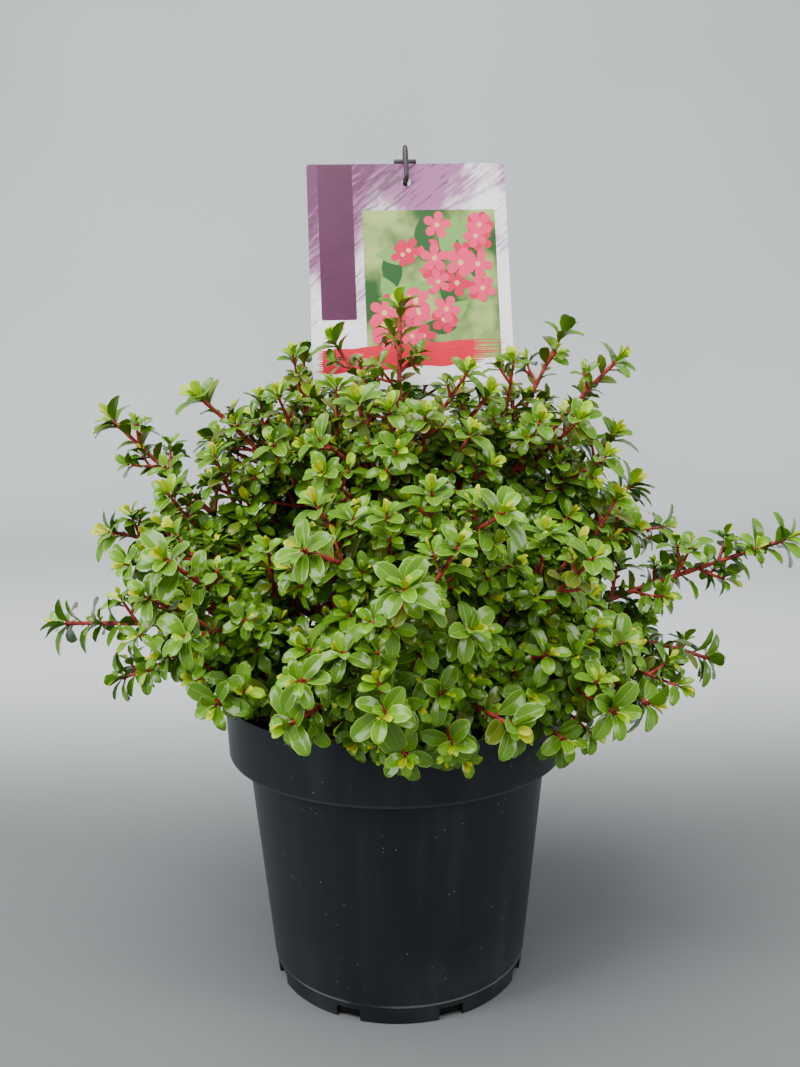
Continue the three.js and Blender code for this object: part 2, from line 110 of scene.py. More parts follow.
class Wire:
    """One output of a node, or a plain number, that Math nodes can be built from."""

    def __init__(self, tree, socket):
        self.tree = tree
        self.socket = socket

    def node(self, kind, inputs, output=0, **settings):
        return add_node(self.tree, kind, inputs, output, **settings)

    def maths(self, operation, *values):
        inputs = dict(enumerate(values))
        return self.node("ShaderNodeMath", inputs, operation=operation)

    def __add__(self, other):
        return self.maths("ADD", self, other)

    def __radd__(self, other):
        return self.maths("ADD", other, self)

    def __sub__(self, other):
        return self.maths("SUBTRACT", self, other)

    def __rsub__(self, other):
        return self.maths("SUBTRACT", other, self)

    def __mul__(self, other):
        return self.maths("MULTIPLY", self, other)

    def __rmul__(self, other):
        return self.maths("MULTIPLY", other, self)

    def ramp(self, low, high):
        """0 below low, 1 above high and a smooth rise between; low may be the larger."""
        inputs = {"Value": self, "From Min": low, "From Max": high}
        return self.node("ShaderNodeMapRange", inputs, interpolation_type="SMOOTHSTEP")

    def mix(self, first, second):
        """The first colour where this wire is 0 and the second where it is 1."""
        inputs = {"Factor": self, 6: first, 7: second}
        return self.node("ShaderNodeMix", inputs, 2, data_type="RGBA")


def add_node(tree, kind, inputs, output=0, **settings):
    new = tree.nodes.new(kind)
    for name, value in settings.items():
        setattr(new, name, value)
    for name, value in inputs.items():
        feed(tree, new.inputs[name], value)
    return Wire(tree, new.outputs[output])


def feed(tree, socket, value):
    if isinstance(value, Wire):
        tree.links.new(value.socket, socket)
    elif hasattr(value, "__len__") and len(value) == 3 and socket.type == "RGBA":
        socket.default_value = (*value, 1)
    else:
        socket.default_value = value


# %% [markdown]
# ## Finishes
# A finish here is one Principled shader. What stays the same all over a surface is set on
# the shader itself, and only colour, roughness and relief may vary from place to place.

# %% Make a finish


class Finish:
    """A material with one Principled shader, and the wires that its patterns start from."""

    def __init__(self, name, **constants):
        self.material = bpy.data.materials.new(name)
        self.material.use_nodes = True
        self.tree = self.material.node_tree
        self.shader = next(n for n in self.tree.nodes if n.type == "BSDF_PRINCIPLED")
        for socket, value in constants.items():
            feed(self.tree, self.shader.inputs[socket.replace("_", " ")], value)
        if "Base_Color" in constants:
            self.material.diffuse_color = (*constants["Base_Color"], 1)

    def node(self, kind, inputs, output=0, **settings):
        return add_node(self.tree, kind, inputs, output, **settings)

    def place(self):
        return self.node("ShaderNodeTexCoord", {}, "Object")

    def noise(self, where, scale, detail=3, roughness=0.5):
        inputs = {"Vector": where, "Scale": scale, "Detail": detail, "Roughness": roughness}
        return self.node("ShaderNodeTexNoise", inputs, "Fac")

    def stretched(self, where, stretch, turn=(0, 0, 0)):
        """Coordinates in which a pattern comes out that many times longer on each axis."""
        inputs = {"Vector": where, "Scale": stretch, "Rotation": turn}
        return self.node("ShaderNodeMapping", inputs, "Vector", vector_type="TEXTURE")

    def axes(self, where):
        return [self.node("ShaderNodeSeparateXYZ", {"Vector": where}, i) for i in range(3)]

    def use(self, **wires):
        for socket, wire in wires.items():
            feed(self.tree, self.shader.inputs[socket.replace("_", " ")], wire)

    def relief(self, height, depth_mm):
        inputs = {"Height": height, "Distance": depth_mm * MM, "Strength": 1.0}
        self.use(Normal=self.node("ShaderNodeBump", inputs, "Normal"))


# %% [markdown]
# A plain floor rises in a wide curve to a plain pale wall, so no corner shows behind the
# pot. The floor is a middle grey that turns pale a little way behind the pot. Three broad
# soft lamps and a pale surround light it as an overcast day by a large window does. A sky
# texture would do that too, but it would put a sun and a horizon into every reflection.

# %% Set the stage
FLOOR_FRONT, WALL_FOOT, WALL_TOP, STAGE_HALF = -3.0, 2.3, 3.2, 3.6
BEND_RADIUS, BEND_STEPS = 0.6, 16
LAMPS = [
    ("sky_panel", (-0.3, -0.6, 2.2), (0, 0.05, 0.3), (1.7, 1.4), 74, (1.0, 0.99, 0.97)),
    ("window_left", (-1.9, -0.9, 1.1), (0, 0, 0.25), (1.0, 1.6), 54, (0.95, 0.98, 1.0)),
    ("window_right", (2.0, -0.7, 1.0), (0, 0, 0.25), (0.8, 1.5), 28, (1.0, 0.98, 0.95)),
]


def make_stage():
    profile = [(FLOOR_FRONT, 0.0), (WALL_FOOT - BEND_RADIUS, 0.0)]
    for step in range(1, BEND_STEPS + 1):
        turn = math.pi / 2 * step / BEND_STEPS
        along = WALL_FOOT - BEND_RADIUS + BEND_RADIUS * math.sin(turn)
        profile.append((along, BEND_RADIUS * (1 - math.cos(turn))))
    profile.append((WALL_FOOT, WALL_TOP))
    places = [(x, y, z) for y, z in profile for x in (-STAGE_HALF, STAGE_HALF)]
    faces = [(2 * i, 2 * i + 1, 2 * i + 3, 2 * i + 2) for i in range(len(profile) - 1)]
    mesh = bpy.data.meshes.new("stage")
    mesh.from_pydata(places, [], faces)
    mesh.shade_smooth()
    stage = bpy.data.objects.new("stage", mesh)
    bpy.context.scene.collection.objects.link(stage)
    paper = Finish("stage_paper", Roughness=0.9, Specular_IOR_Level=0.2)
    where = paper.place()
    cloudy = paper.noise(where, 1.1, 2).ramp(0.3, 0.7)
    wall = cloudy.mix((0.525, 0.548, 0.552), (0.585, 0.608, 0.61))
    floor = (0.145, 0.151, 0.154)
    behind = paper.axes(where)[1].ramp(0.15, 0.75)
    paper.use(Base_Color=behind.mix(floor, wall))
    mesh.materials.append(paper.material)
    stage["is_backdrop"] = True


def add_lamp(name, place, aim, size, watts, colour):
    data = bpy.data.lights.new(name, "AREA")
    data.shape = "RECTANGLE"
    data.size, data.size_y = size
    data.energy = watts
    data.color = colour
    lamp = bpy.data.objects.new(name, data)
    toward = Vector(aim) - Vector(place)
    turn = toward.to_track_quat("-Z", "Y").to_matrix().to_4x4()
    lamp.matrix_world = Matrix.Translation(place) @ turn
    bpy.context.scene.collection.objects.link(lamp)


def make_surround():
    world = bpy.data.worlds.new("surround")
    world.use_nodes = True
    surround = world.node_tree.nodes["Background"]
    surround.inputs["Color"].default_value = (0.80, 0.84, 0.88, 1)
    surround.inputs["Strength"].default_value = 0.95
    bpy.context.scene.world = world


make_stage()
for lamp in LAMPS:
    add_lamp(*lamp)
make_surround()
print("lamps:", {name: watts for name, _, _, _, watts, _ in LAMPS})

# %% [markdown]
# ## Shared ways to make a mesh
# Every finished piece is an object at the origin, with its place in its mesh, that rides on
# the body called root. One helper does that for all of them. Others make a mesh from plain
# lists, turn the result of modifiers into a plain mesh, write a named attribute on a mesh,
# which is how a Geometry Nodes tree is told about each point, and soften a block's edges.

# %% Turn a mesh into a riding piece


def new_object(name, mesh):
    piece = bpy.data.objects.new(name, mesh)
    bpy.context.scene.collection.objects.link(piece)
    return piece


def ride_on_root(piece, replaced=()):
    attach(piece, "root")
    if replaced:
        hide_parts(*replaced)
    piece.data.calc_loop_triangles()
    print(piece.name, len(piece.data.loop_triangles), "triangles")


def mesh_from(name, places, faces, finish, smooth=True):
    """A mesh from places in millimetres, with outward faces."""
    mesh = bpy.data.meshes.new(name)
    mesh.from_pydata([Vector(p) * MM for p in places], [], faces)
    mesh.materials.append(finish.material)
    shell = bmesh.new()
    shell.from_mesh(mesh)
    bmesh.ops.recalc_face_normals(shell, faces=shell.faces)
    shell.to_mesh(mesh)
    shell.free()
    if smooth:
        mesh.shade_smooth()
    mesh.update()
    return mesh


def baked(piece):
    """The mesh that an object's modifiers make, as a plain mesh; the object is removed."""
    graph = bpy.context.evaluated_depsgraph_get()
    mesh = bpy.data.meshes.new_from_object(piece.evaluated_get(graph))
    bpy.data.objects.remove(piece)
    return mesh


def write_attribute(mesh, name, kind, domain, values):
    field = "vector" if kind == "FLOAT_VECTOR" else "value"
    mesh.attributes.new(name, kind, domain).data.foreach_set(field, values)


def soften_edges(shell, radius, segments):
    bmesh.ops.bevel(
        shell,
        geom=shell.edges[:],
        offset=radius * MM,
        segments=segments,
        affect="EDGES",
        profile=0.5,
    )


# %% [markdown]
# A turned piece is a profile swept round the axis. Spin or the Screw modifier could sweep
# it, but laying out the rings by hand closes both poles at once, and lets a formula lift
# each place, which the compost needs. Real mouldings have no sharp corners, so each corner
# of the profile is first replaced by a short arc.

# %% Turn a rounded profile


def rounded(profile, radius, steps=4):
    """The profile with each inner corner replaced by a curve of about that radius."""
    soft = [Vector(profile[0])]
    for before, corner, after in zip(profile, profile[1:], profile[2:]):
        before, corner, after = Vector(before), Vector(corner), Vector(after)
        cut = min(radius, (before - corner).length * 0.45, (after - corner).length * 0.45)
        start = corner + (before - corner).normalized() * cut
        end = corner + (after - corner).normalized() * cut
        for step in range(steps + 1):
            t = step / steps
            soft.append(start.lerp(corner, t).lerp(corner.lerp(end, t), t))
    return soft + [Vector(profile[-1])]


def turned(name, profile, sides, finish, shape=lambda x, y, z: z):
    """A closed turned solid from a profile that starts and ends on the axis."""
    rings = [p for p in profile if p[0] > 1e-6]
    places = [(0, 0, profile[0][1])]
    for radius, height in rings:
        for side in range(sides):
            angle = 2 * math.pi * side / sides
            x, y = radius * math.cos(angle), radius * math.sin(angle)
            places.append((x, y, shape(x, y, height)))
    places.append((0, 0, shape(0, 0, profile[-1][1])))
    last = len(places) - 1
    faces = []
    for side in range(sides):
        near, far = 1 + side, 1 + (side + 1) % sides
        faces.append((0, far, near))
        for ring in range(len(rings) - 1):
            a, b = ring * sides, (ring + 1) * sides
            faces.append((near + a, far + a, far + b, near + b))
        top = (len(rings) - 1) * sides
        faces.append((near + top, far + top, last))
    return mesh_from(name, places, faces, finish)


# %% [markdown]
# ## The pot
# A thin moulded nursery pot: a deep rim band over a body that tapers to a foot ring, with
# drain notches round the foot. It is black with a hint of blue-green, satin, and carries
# pale dust, a few splashes of dried water, and a light scuffed line where the foot ring
# begins. Along the rim band's lower edge runs a thin painted highlight, where the rounded lip
# would catch the light. All of that can be painted by noise and by height, so no image is
# needed: dust is a cloudy film that thickens downwards, splashes are the middles of a
# texture's cells, and the scuffed line and the painted highlight are each a narrow band of
# heights.

# %% The pot's plastic
POT_HEIGHT = 190.0
RIM_RADIUS = 112.5
RIM_FOOT_RADIUS = 110.8
RIM_BAND = 38.0
NECK_RADIUS = 98.8
BODY_FOOT_RADIUS = 85.0
FOOT_RING_RADIUS = 83.6
FOOT_RING_HEIGHT = 12.0
WALL = 1.6
POT_NECK = POT_HEIGHT - RIM_BAND


def band(height, middle, start, full, last, end):
    """1 from full to last and 0 outside start to end, all in mm from a middle height."""
    rise = height.ramp((middle + start) * MM, (middle + full) * MM)
    return rise * height.ramp((middle + end) * MM, (middle + last) * MM)


def pot_plastic():
    """Satin black plastic under dust, dried splashes, a scuffed foot line and a painted rim
    highlight.
    """
    plastic = Finish("pot_plastic", Specular_IOR_Level=0.26)
    where = plastic.place()
    height = plastic.axes(where)[2]
    streaks = plastic.noise(plastic.stretched(where, (1, 1, 14)), 60, 4)
    clouds = plastic.noise(where, 14, 4)
    grain = plastic.noise(where, 900, 2)
    cells = plastic.node(
        "ShaderNodeTexVoronoi", {"Vector": where, "Scale": 260, "Randomness": 1.0}, "Distance"
    )
    sparse = plastic.noise(where, 60, 1).ramp(0.52, 0.62)
    specks = cells.ramp(0.11, 0.05) * sparse
    foot_line = band(height, FOOT_RING_HEIGHT, -1.5, -0.2, 0.2, 1.6) * clouds.ramp(0.30, 0.55)
    # Painted highlight: a pale line along the rim band's lower edge, where the rounded lip would
    # catch the light.
    rim_highlight_painted = band(height, POT_NECK, -0.2, 0.4, 1.0, 2.4) * clouds
    low_dust = height.ramp(0.055, 0.0) * clouds.ramp(0.42, 0.75) * 0.35
    film = streaks.ramp(0.45, 0.8) * 0.10 + low_dust
    black = clouds.mix((0.0054, 0.0079, 0.0093), (0.0086, 0.0120, 0.0142))
    dusty = film.mix(black, (0.075, 0.082, 0.085))
    # The foot line is a real scuff; the rim line mixed in with it is painted highlight.
    scuff_and_highlight = (foot_line * 0.5 + rim_highlight_painted * 0.14).mix(dusty, (0.25, 0.25, 0.24))
    plastic.use(
        Base_Color=(specks * 0.6).mix(scuff_and_highlight, (0.40, 0.41, 0.40)),
        Roughness=0.34 + clouds * 0.10 + film * 0.9 + specks * 0.3,
    )
    plastic.relief(grain * 0.3 + streaks, 0.05)
    return plastic


plastic = pot_plastic()
print("plastic nodes:", len(plastic.tree.nodes))

# %% [markdown]
# The wall, the rim band and the foot ring are one turned profile, outside and inside. The
# drain notches are then cut out of the foot, as a tool would cut them: one block with
# softened edges for each notch, all in one cutter, because one cut by eight blocks is
# quicker and cleaner than eight cuts.

# %% Turn the pot and cut its drain notches
POT_SIDES = 144
POT_CORNER = 1.3
RIM_LIP = 2.2
RING_FLARE, RING_ROLL = 0.4, 1.2
NOTCH_COUNT = 8
NOTCH_SIZE = Vector((16, 16, 9))
NOTCH_HEIGHT = 3.5
NOTCH_CORNER = 1.2


def make_notches():
    cutter = bmesh.new()
    for notch in range(NOTCH_COUNT):
        turn = Matrix.Rotation((notch + 0.5) * 2 * math.pi / NOTCH_COUNT, 4, "Z")
        shift = Matrix.Translation(Vector((FOOT_RING_RADIUS, 0, NOTCH_HEIGHT)) * MM)
        size = Matrix.Diagonal(NOTCH_SIZE * MM).to_4x4()
        bmesh.ops.create_cube(cutter, size=1, matrix=turn @ shift @ size)
    soften_edges(cutter, NOTCH_CORNER, 2)
    mesh = bpy.data.meshes.new("notches")
    cutter.to_mesh(mesh)
    cutter.free()
    return new_object("notches", mesh)


def make_pot():
    profile = [
        (0, 0),
        (FOOT_RING_RADIUS, 0),
        (FOOT_RING_RADIUS + RING_FLARE, FOOT_RING_HEIGHT - RING_ROLL),
        (BODY_FOOT_RADIUS, FOOT_RING_HEIGHT),
        (NECK_RADIUS, POT_NECK),
        (RIM_FOOT_RADIUS, POT_NECK),
        (RIM_RADIUS, POT_HEIGHT - RIM_LIP),
        (RIM_RADIUS, POT_HEIGHT),
        (RIM_RADIUS - WALL, POT_HEIGHT),
        (RIM_FOOT_RADIUS - WALL, POT_NECK + WALL),
        (NECK_RADIUS - WALL, POT_NECK + WALL),
        (FOOT_RING_RADIUS - WALL, WALL),
        (0, WALL),
    ]
    moulded = turned("pot_moulded", rounded(profile, POT_CORNER), POT_SIDES, plastic)
    pot = new_object("pot_moulded", moulded)
    notches = make_notches()
    cut = pot.modifiers.new("drain_notches", "BOOLEAN")
    cut.operation = "DIFFERENCE"
    cut.solver = "EXACT"
    cut.object = notches
    pot = new_object("pot_shell", baked(pot))
    bpy.data.objects.remove(notches)
    pot.data.materials.clear()
    pot.data.materials.append(plastic.material)
    for face in pot.data.polygons:
        face.material_index = 0
    pot.data.shade_smooth()
    pot.data.set_sharp_from_angle(angle=math.radians(40))
    ride_on_root(pot, ["pot"])


make_pot()

# %% [markdown]
# ## Setting out what repeats
# Leaves, chips and blossoms all repeat one small shape at many places, so one Geometry
# Nodes tree serves them all. Its points carry how each copy is turned and sized, its named
# inputs take the shape, its finishes and how much the sizes vary, and a fixed seed keeps
# the result the same each run. Faces of the shape that are marked second or foot get a
# finish of their own. Realize Instances makes it one plain mesh at the end.

# %% Start a tree with named inputs


def new_tree(name, sockets):
    """A tree with named inputs, a function that gives the wire of one, and its end."""
    tree = bpy.data.node_groups.new(name, "GeometryNodeTree")
    for label, kind in [("Geometry", "Geometry"), *sockets]:
        tree.interface.new_socket(name=label, in_out="INPUT", socket_type="NodeSocket" + kind)
    tree.interface.new_socket(
        name="Geometry", in_out="OUTPUT", socket_type="NodeSocketGeometry"
    )
    given = tree.nodes.new("NodeGroupInput")
    result = tree.nodes.new("NodeGroupOutput")
    return tree, lambda label: Wire(tree, given.outputs[label]), result


def named(tree, kind, name):
    return add_node(
        tree, "GeometryNodeInputNamedAttribute", {"Name": name}, "Attribute", data_type=kind
    )


def finished(tree, geometry, finish, selection=None):
    inputs = {"Geometry": geometry, "Material": finish}
    if selection:
        inputs["Selection"] = selection
    return add_node(tree, "GeometryNodeSetMaterial", inputs)


# %% The tree that sets out copies


def setting_out_tree():
    sockets = [
        ("Shape", "Object"),
        ("Size spread", "Float"),
        ("Seed", "Int"),
        ("Finish", "Material"),
        ("Second finish", "Material"),
        ("Foot finish", "Material"),
    ]
    tree, take, result = new_tree("set_out", sockets)
    shape = add_node(tree, "GeometryNodeObjectInfo", {"Object": take("Shape")}, "Geometry")
    turn = add_node(
        tree, "FunctionNodeEulerToRotation", {"Euler": named(tree, "FLOAT_VECTOR", "aim")}
    )
    vary = tree.nodes.new("FunctionNodeRandomValue")
    vary.data_type = "FLOAT"
    spread = take("Size spread")
    feed(tree, vary.inputs[2], 1 - spread)
    feed(tree, vary.inputs[3], 1 + spread)
    feed(tree, vary.inputs["Seed"], take("Seed"))
    size = named(tree, "FLOAT", "size") * Wire(tree, vary.outputs[1])
    inputs = {"Points": take("Geometry"), "Instance": shape, "Rotation": turn, "Scale": size}
    copies = add_node(tree, "GeometryNodeInstanceOnPoints", inputs)
    solid = add_node(tree, "GeometryNodeRealizeInstances", {"Geometry": copies})
    painted = finished(tree, solid, take("Finish"))
    for mark, label in (("second", "Second finish"), ("foot", "Foot finish")):
        painted = finished(tree, painted, take(label), named(tree, "BOOLEAN", mark))
    tree.links.new(painted.socket, result.inputs["Geometry"])
    return tree


SET_OUT = setting_out_tree()
print("tree nodes:", len(SET_OUT.nodes))

# %% [markdown]
# A tree works on a mesh through a modifier. For the tree above that mesh is only points, one
# for each copy, with its turn and size written on it as attributes. What the modifier makes
# is then taken over as a plain mesh, and the modifier goes with its source, because the
# pieces of a finished model shouldn't depend on each other.

# %% Set out copies of a shape


def grown(name, mesh, tree, **values):
    """The plain mesh that a tree makes of a mesh, with its inputs set by their labels."""
    source = new_object(name + "_source", mesh)
    modifier = source.modifiers.new("grow", "NODES")
    modifier.node_group = tree
    labels = {s.name: s.identifier for s in tree.interface.items_tree if s.in_out == "INPUT"}
    for label, value in values.items():
        modifier[labels[label.replace("_", " ")]] = value
    source.update_tag()
    made = baked(source)
    made.name = name
    return made


def set_out(name, places, shape, spread, seed, finish, second=None, foot=None):
    """Copies of a shape at places, each a centre in mm, a turn and a size factor."""
    mesh = bpy.data.meshes.new(name)
    mesh.from_pydata([centre * MM for centre, _, _ in places], [], [])
    aims = [v for _, turn, _ in places for v in turn]
    write_attribute(mesh, "aim", "FLOAT_VECTOR", "POINT", aims)
    write_attribute(mesh, "size", "FLOAT", "POINT", [size for _, _, size in places])
    made = grown(
        name,
        mesh,
        SET_OUT,
        Shape=shape,
        Size_spread=spread,
        Seed=seed,
        Finish=finish.material,
        Second_finish=(second or finish).material,
        Foot_finish=(foot or finish).material,
    )
    return new_object(name, made)


# %% [markdown]
# ## Chance that repeats
# The growth rule of the solids draws its numbers from one small function, which gives the
# same number for the same shoot, twig and use. It is written again here.

# %% Repeatable chance and directions
SEED = 7


def chance(shoot, twig, use):
    """A number from 0 to 1, mixed from its keys with the large odd factors of a hash."""
    h = (shoot * 73856093) ^ (twig * 19349663) ^ ((use + SEED) * 83492791)
    h &= 0xFFFFFFFF
    h = ((h ^ (h >> 15)) * 2246822519) & 0xFFFFFFFF
    h = ((h ^ (h >> 13)) * 3266489917) & 0xFFFFFFFF
    return (h ^ (h >> 16)) / 2**32


def spread_by(middle, share, roll):
    """A value round a middle one, up to that share away from it, by a roll from 0 to 1."""
    return middle * (1 + share * (2 * roll - 1))


def blend(a, b, share):
    return a + (b - a) * share


def off_axis(vector, axis):
    """The part of a vector that is square to an axis."""
    return vector - axis * vector.dot(axis)


def tilted(axis, tilt, angle):
    """A direction tilted away from an axis, towards an angle round it, in degrees."""
    side = Vector((1, 0, 0)) if abs(axis.z) > 0.95 else UP
    across = off_axis(side, axis).normalized()
    across = Matrix.Rotation(math.radians(angle), 3, axis) @ across
    return axis * math.cos(math.radians(tilt)) + across * math.sin(math.radians(tilt))


print("first draws:", [round(chance(1, 1, use), 3) for use in range(4)])

# %% [markdown]
# ## Compost
# The pot is filled to a finger's width below its rim with dark, moist compost: lumpy, with
# bark chips, fibres and a few pale grains lying on it. The lumps are real relief on a fine
# turned disc, and the chips are set out on it by the tree above.

# %% Fill the pot
SOIL_EDGE = POT_HEIGHT - 11
SOIL_MIDDLE = POT_HEIGHT - 4
SOIL_SHOULDER = RIM_RADIUS * 0.55
SOIL_REACH = 110
SOIL_FALL = 1.5
SOIL_SETTLED = 1.2
SOIL_SIDES, SOIL_RINGS = 160, 56
GAP = 0.3


def soil_height(x, y):
    """A low dome that falls to the pot's wall, with lumps and crumbs of three sizes."""
    radius = math.hypot(x, y)
    inner = min(radius / SOIL_SHOULDER, 1)
    outer = max(radius - SOIL_SHOULDER, 0) / (SOIL_REACH - SOIL_SHOULDER)
    level = SOIL_MIDDLE - SOIL_FALL * inner
    level -= (SOIL_MIDDLE - SOIL_FALL - SOIL_EDGE) * min(outer, 1)
    lumps = noise.noise(Vector((x, y, 0)) / 14) * 1.6 + noise.noise(Vector((x, y, 9)) / 5) * 1.1
    crumbs = noise.noise(Vector((x, y, 4)) / 2.2) * 0.7
    return level - SOIL_SETTLED + lumps + crumbs


def compost_finish():
    soil = Finish("compost", Specular_IOR_Level=0.25)
    where = soil.place()
    crumbs = soil.noise(where, 260, 5, 0.65)
    damp = soil.noise(where, 45, 2)
    brown = crumbs.ramp(0.35, 0.7).mix((0.006, 0.004, 0.003), (0.050, 0.029, 0.016))
    patchy = (damp.ramp(0.4, 0.7) * 0.5).mix(brown, (0.012, 0.008, 0.006))
    # Painted shade: compost below a height of 120 mm darkens to near black by 60 mm, standing in
    # for the shade inside the pot where it shows through the drain notches.
    deep = soil.axes(where)[2].ramp(0.12, 0.06)
    soil.use(
        Base_Color=deep.mix(patchy, (0.004, 0.003, 0.003)),
        Roughness=0.95 - damp.ramp(0.4, 0.8) * 0.25,
    )
    soil.relief(crumbs, 1.2)
    return soil


def make_soil():
    inside = WALL + GAP
    side = [
        (0, inside),
        (FOOT_RING_RADIUS - inside - 0.4, inside),
        (NECK_RADIUS - inside - 0.2, POT_NECK + inside),
        (RIM_FOOT_RADIUS - inside, POT_NECK + inside),
    ]
    edge = RIM_RADIUS - inside - 0.6
    top = [(edge * (1 - ring / SOIL_RINGS), SOIL_EDGE) for ring in range(SOIL_RINGS)]
    top.append((0, SOIL_EDGE))

    def shape(x, y, z):
        return soil_height(x, y) if z == SOIL_EDGE else z

    mesh = turned("compost_fill", side + top, SOIL_SIDES, compost_finish(), shape)
    ride_on_root(new_object("compost_fill", mesh), ["soil"])


make_soil()

# %% [markdown]
# Potting compost is never one even texture. Splinters of bark, pale fibres and round crumbs
# lie loose on it at all angles, and a bump map can't show them edge on. So each kind is one
# small shape, knocked out of square, and the tree above strews it evenly over the disc.

# %% Strew chips and fibres over it
STREWN_REACH = 106
STREWN_TIP = 0.9
TRUNK_CLEAR = 14
LOOSE_BITS = [
    {
        "name": "bark_chips",
        "count": 520,
        "shape": ("chip", 7, 4, 2, 11),
        "sizes": (0.35, 1.5),
        "seed": 21,
        "looks": ("chip_bark", (0.030, 0.014, 0.008), (0.110, 0.055, 0.028)),
    },
    {
        "name": "fibres",
        "count": 420,
        "shape": ("fibre", 12, 1.0, 0.7, 12),
        "sizes": (0.3, 1.2),
        "seed": 22,
        "looks": ("chip_fibre", (0.060, 0.036, 0.018), (0.170, 0.110, 0.060)),
    },
    {
        "name": "crumbs",
        "count": 1100,
        "shape": ("crumb", 3, 2.6, 2.2, 13),
        "sizes": (0.4, 1.6),
        "seed": 23,
        "looks": ("chip_crumb", (0.006, 0.004, 0.003), (0.028, 0.017, 0.010)),
    },
]


def chip_shape(name, length, width, thickness, ragged):
    """A small broken splinter with eight corners pushed out of square."""
    places = []
    for i in range(8):
        x, y, z = (i & 1) - 0.5, ((i >> 1) & 1) - 0.5, (i >> 2) - 0.5
        shake = Vector([chance(i, axis, ragged) - 0.5 for axis in range(3)]) * 0.5
        places.append(((x + shake.x) * width, (y + shake.y) * length, (z + shake.z) * thickness))
    faces = [(0, 2, 3, 1), (4, 5, 7, 6), (0, 1, 5, 4), (2, 6, 7, 3), (0, 4, 6, 2), (1, 3, 7, 5)]
    return new_object(name, mesh_from(name, places, faces, plastic, smooth=False))


def strewn_places(count, sizes, seed):
    """Places spread evenly over the compost, but for the round that the trunk stands in."""
    places = []
    for i in range(count):
        radius = STREWN_REACH * math.sqrt(chance(i, seed, 1))
        if radius < TRUNK_CLEAR:
            continue
        angle = 2 * math.pi * chance(i, seed, 2)
        x, y = radius * math.cos(angle), radius * math.sin(angle)
        tips = [STREWN_TIP * (chance(i, seed, use) - 0.5) for use in (3, 4)]
        turn = Euler((*tips, 2 * math.pi * chance(i, seed, 5)))
        size = blend(*sizes, chance(i, seed, 6) ** 2)
        places.append((Vector((x, y, soil_height(x, y) + GAP)), turn, size))
    return places


def chip_finish(name, dark, light):
    chip = Finish(name, Roughness=0.8, Specular_IOR_Level=0.3)
    where = chip.place()
    chip.use(Base_Color=chip.noise(where, 300, 3).ramp(0.35, 0.65).mix(dark, light))
    return chip


for bits in LOOSE_BITS:
    shape = chip_shape(*bits["shape"])
    places = strewn_places(bits["count"], bits["sizes"], bits["seed"])
    finish = chip_finish(*bits["looks"])
    ride_on_root(set_out(bits["name"], places, shape, 0.15, bits["seed"], finish))
    bpy.data.objects.remove(shape)

# %% [markdown]
# ## The limbs
# The trunk is a short woody foot. From it thirteen boughs rise, each to its share of the
# way to the tips that it serves, and at its end the leading shoots part. A tree generator
# could grow such limbs too, but by a rule of its own. The table of tips and the rule of the
# solids are written again here, so each limb lies where its solid lies. A tip is given by
# its bearing in degrees, its reach and its height.

# %% The crown's table of tips
CROWN = {
    "top": [(-60, 12, 444), (-110, 62, 386), (-18, 66, 388), (175, 52, 386)],
    "left_high": [(136, 87, 415), (185, 126, 388)],
    "right_high": [(19, 124, 428), (-3, 146, 408), (48, 165, 352)],
    "back_high": [(78, 88, 405), (115, 150, 365)],
    "front_high": [(-63, 138, 327), (-110, 148, 310)],
    "right": [(2, 148, 360), (12, 171, 322), (22, 218, 284)],
    "front_right": [(-45, 160, 300), (-23, 174, 196), (-41, 171, 206)],
    "front": [(-88, 182, 298), (-92, 168, 226), (-63, 152, 206), (-113, 154, 212)],
    "left_front": [(-141, 168, 300), (-134, 152, 212), (-172, 218, 244)],
    "left": [(181, 190, 299), (174, 191, 373)],
    "left_back": [(148, 188, 287), (121, 192, 226)],
    "back": [(89, 190, 296), (58, 200, 230)],
    "right_low": [(3, 218, 202), (-5, 255, 292)],
}
print("boughs:", len(CROWN), "tips:", sum(len(tips) for tips in CROWN.values()))

# %% [markdown]
# A limb bends once between the way that it sets out and the way that it ends. A curve object
# with handles could draw it, but growth asks again and again where a limb is and which way
# it points at some share of its length. A small class answers both by blending.

# %% A curve with one bend
LIMB_STEPS = 12


class Path:
    """A curve with one bend, from a start to an end."""

    def __init__(self, start, bend, end):
        self.start, self.bend, self.end = start, bend, end

    def at(self, share):
        return self.start.lerp(self.bend, share).lerp(self.bend.lerp(self.end, share), share)

    def aim(self, share):
        return (self.bend - self.start).lerp(self.end - self.bend, share).normalized()

    def points(self, steps):
        return [self.at(step / steps) for step in range(steps + 1)]

    def length(self):
        points = self.points(LIMB_STEPS)
        return sum((b - a).length for a, b in zip(points, points[1:]))


def polar(azimuth, reach, height):
    turn = math.radians(azimuth)
    return Vector((reach * math.cos(turn), reach * math.sin(turn), height))


def middle_of(places):
    return sum(places, Vector()) / len(places)


def distance_to_line(place, line):
    least = math.inf
    for a, b in zip(line, line[1:]):
        run = b - a
        share = min(1, max(0, (place - a).dot(run) / run.length_squared))
        least = min(least, (a + run * share - place).length)
    return least


# %% [markdown]
# The trunk flares where it meets the compost and tapers towards its fork. The steepest bough
# goes on from the fork, and each other one leaves the trunk's side. Limbs set by chance
# would cross each other, so the lowest bough comes first, and one that would run into a
# bough placed before it starts higher up the trunk.

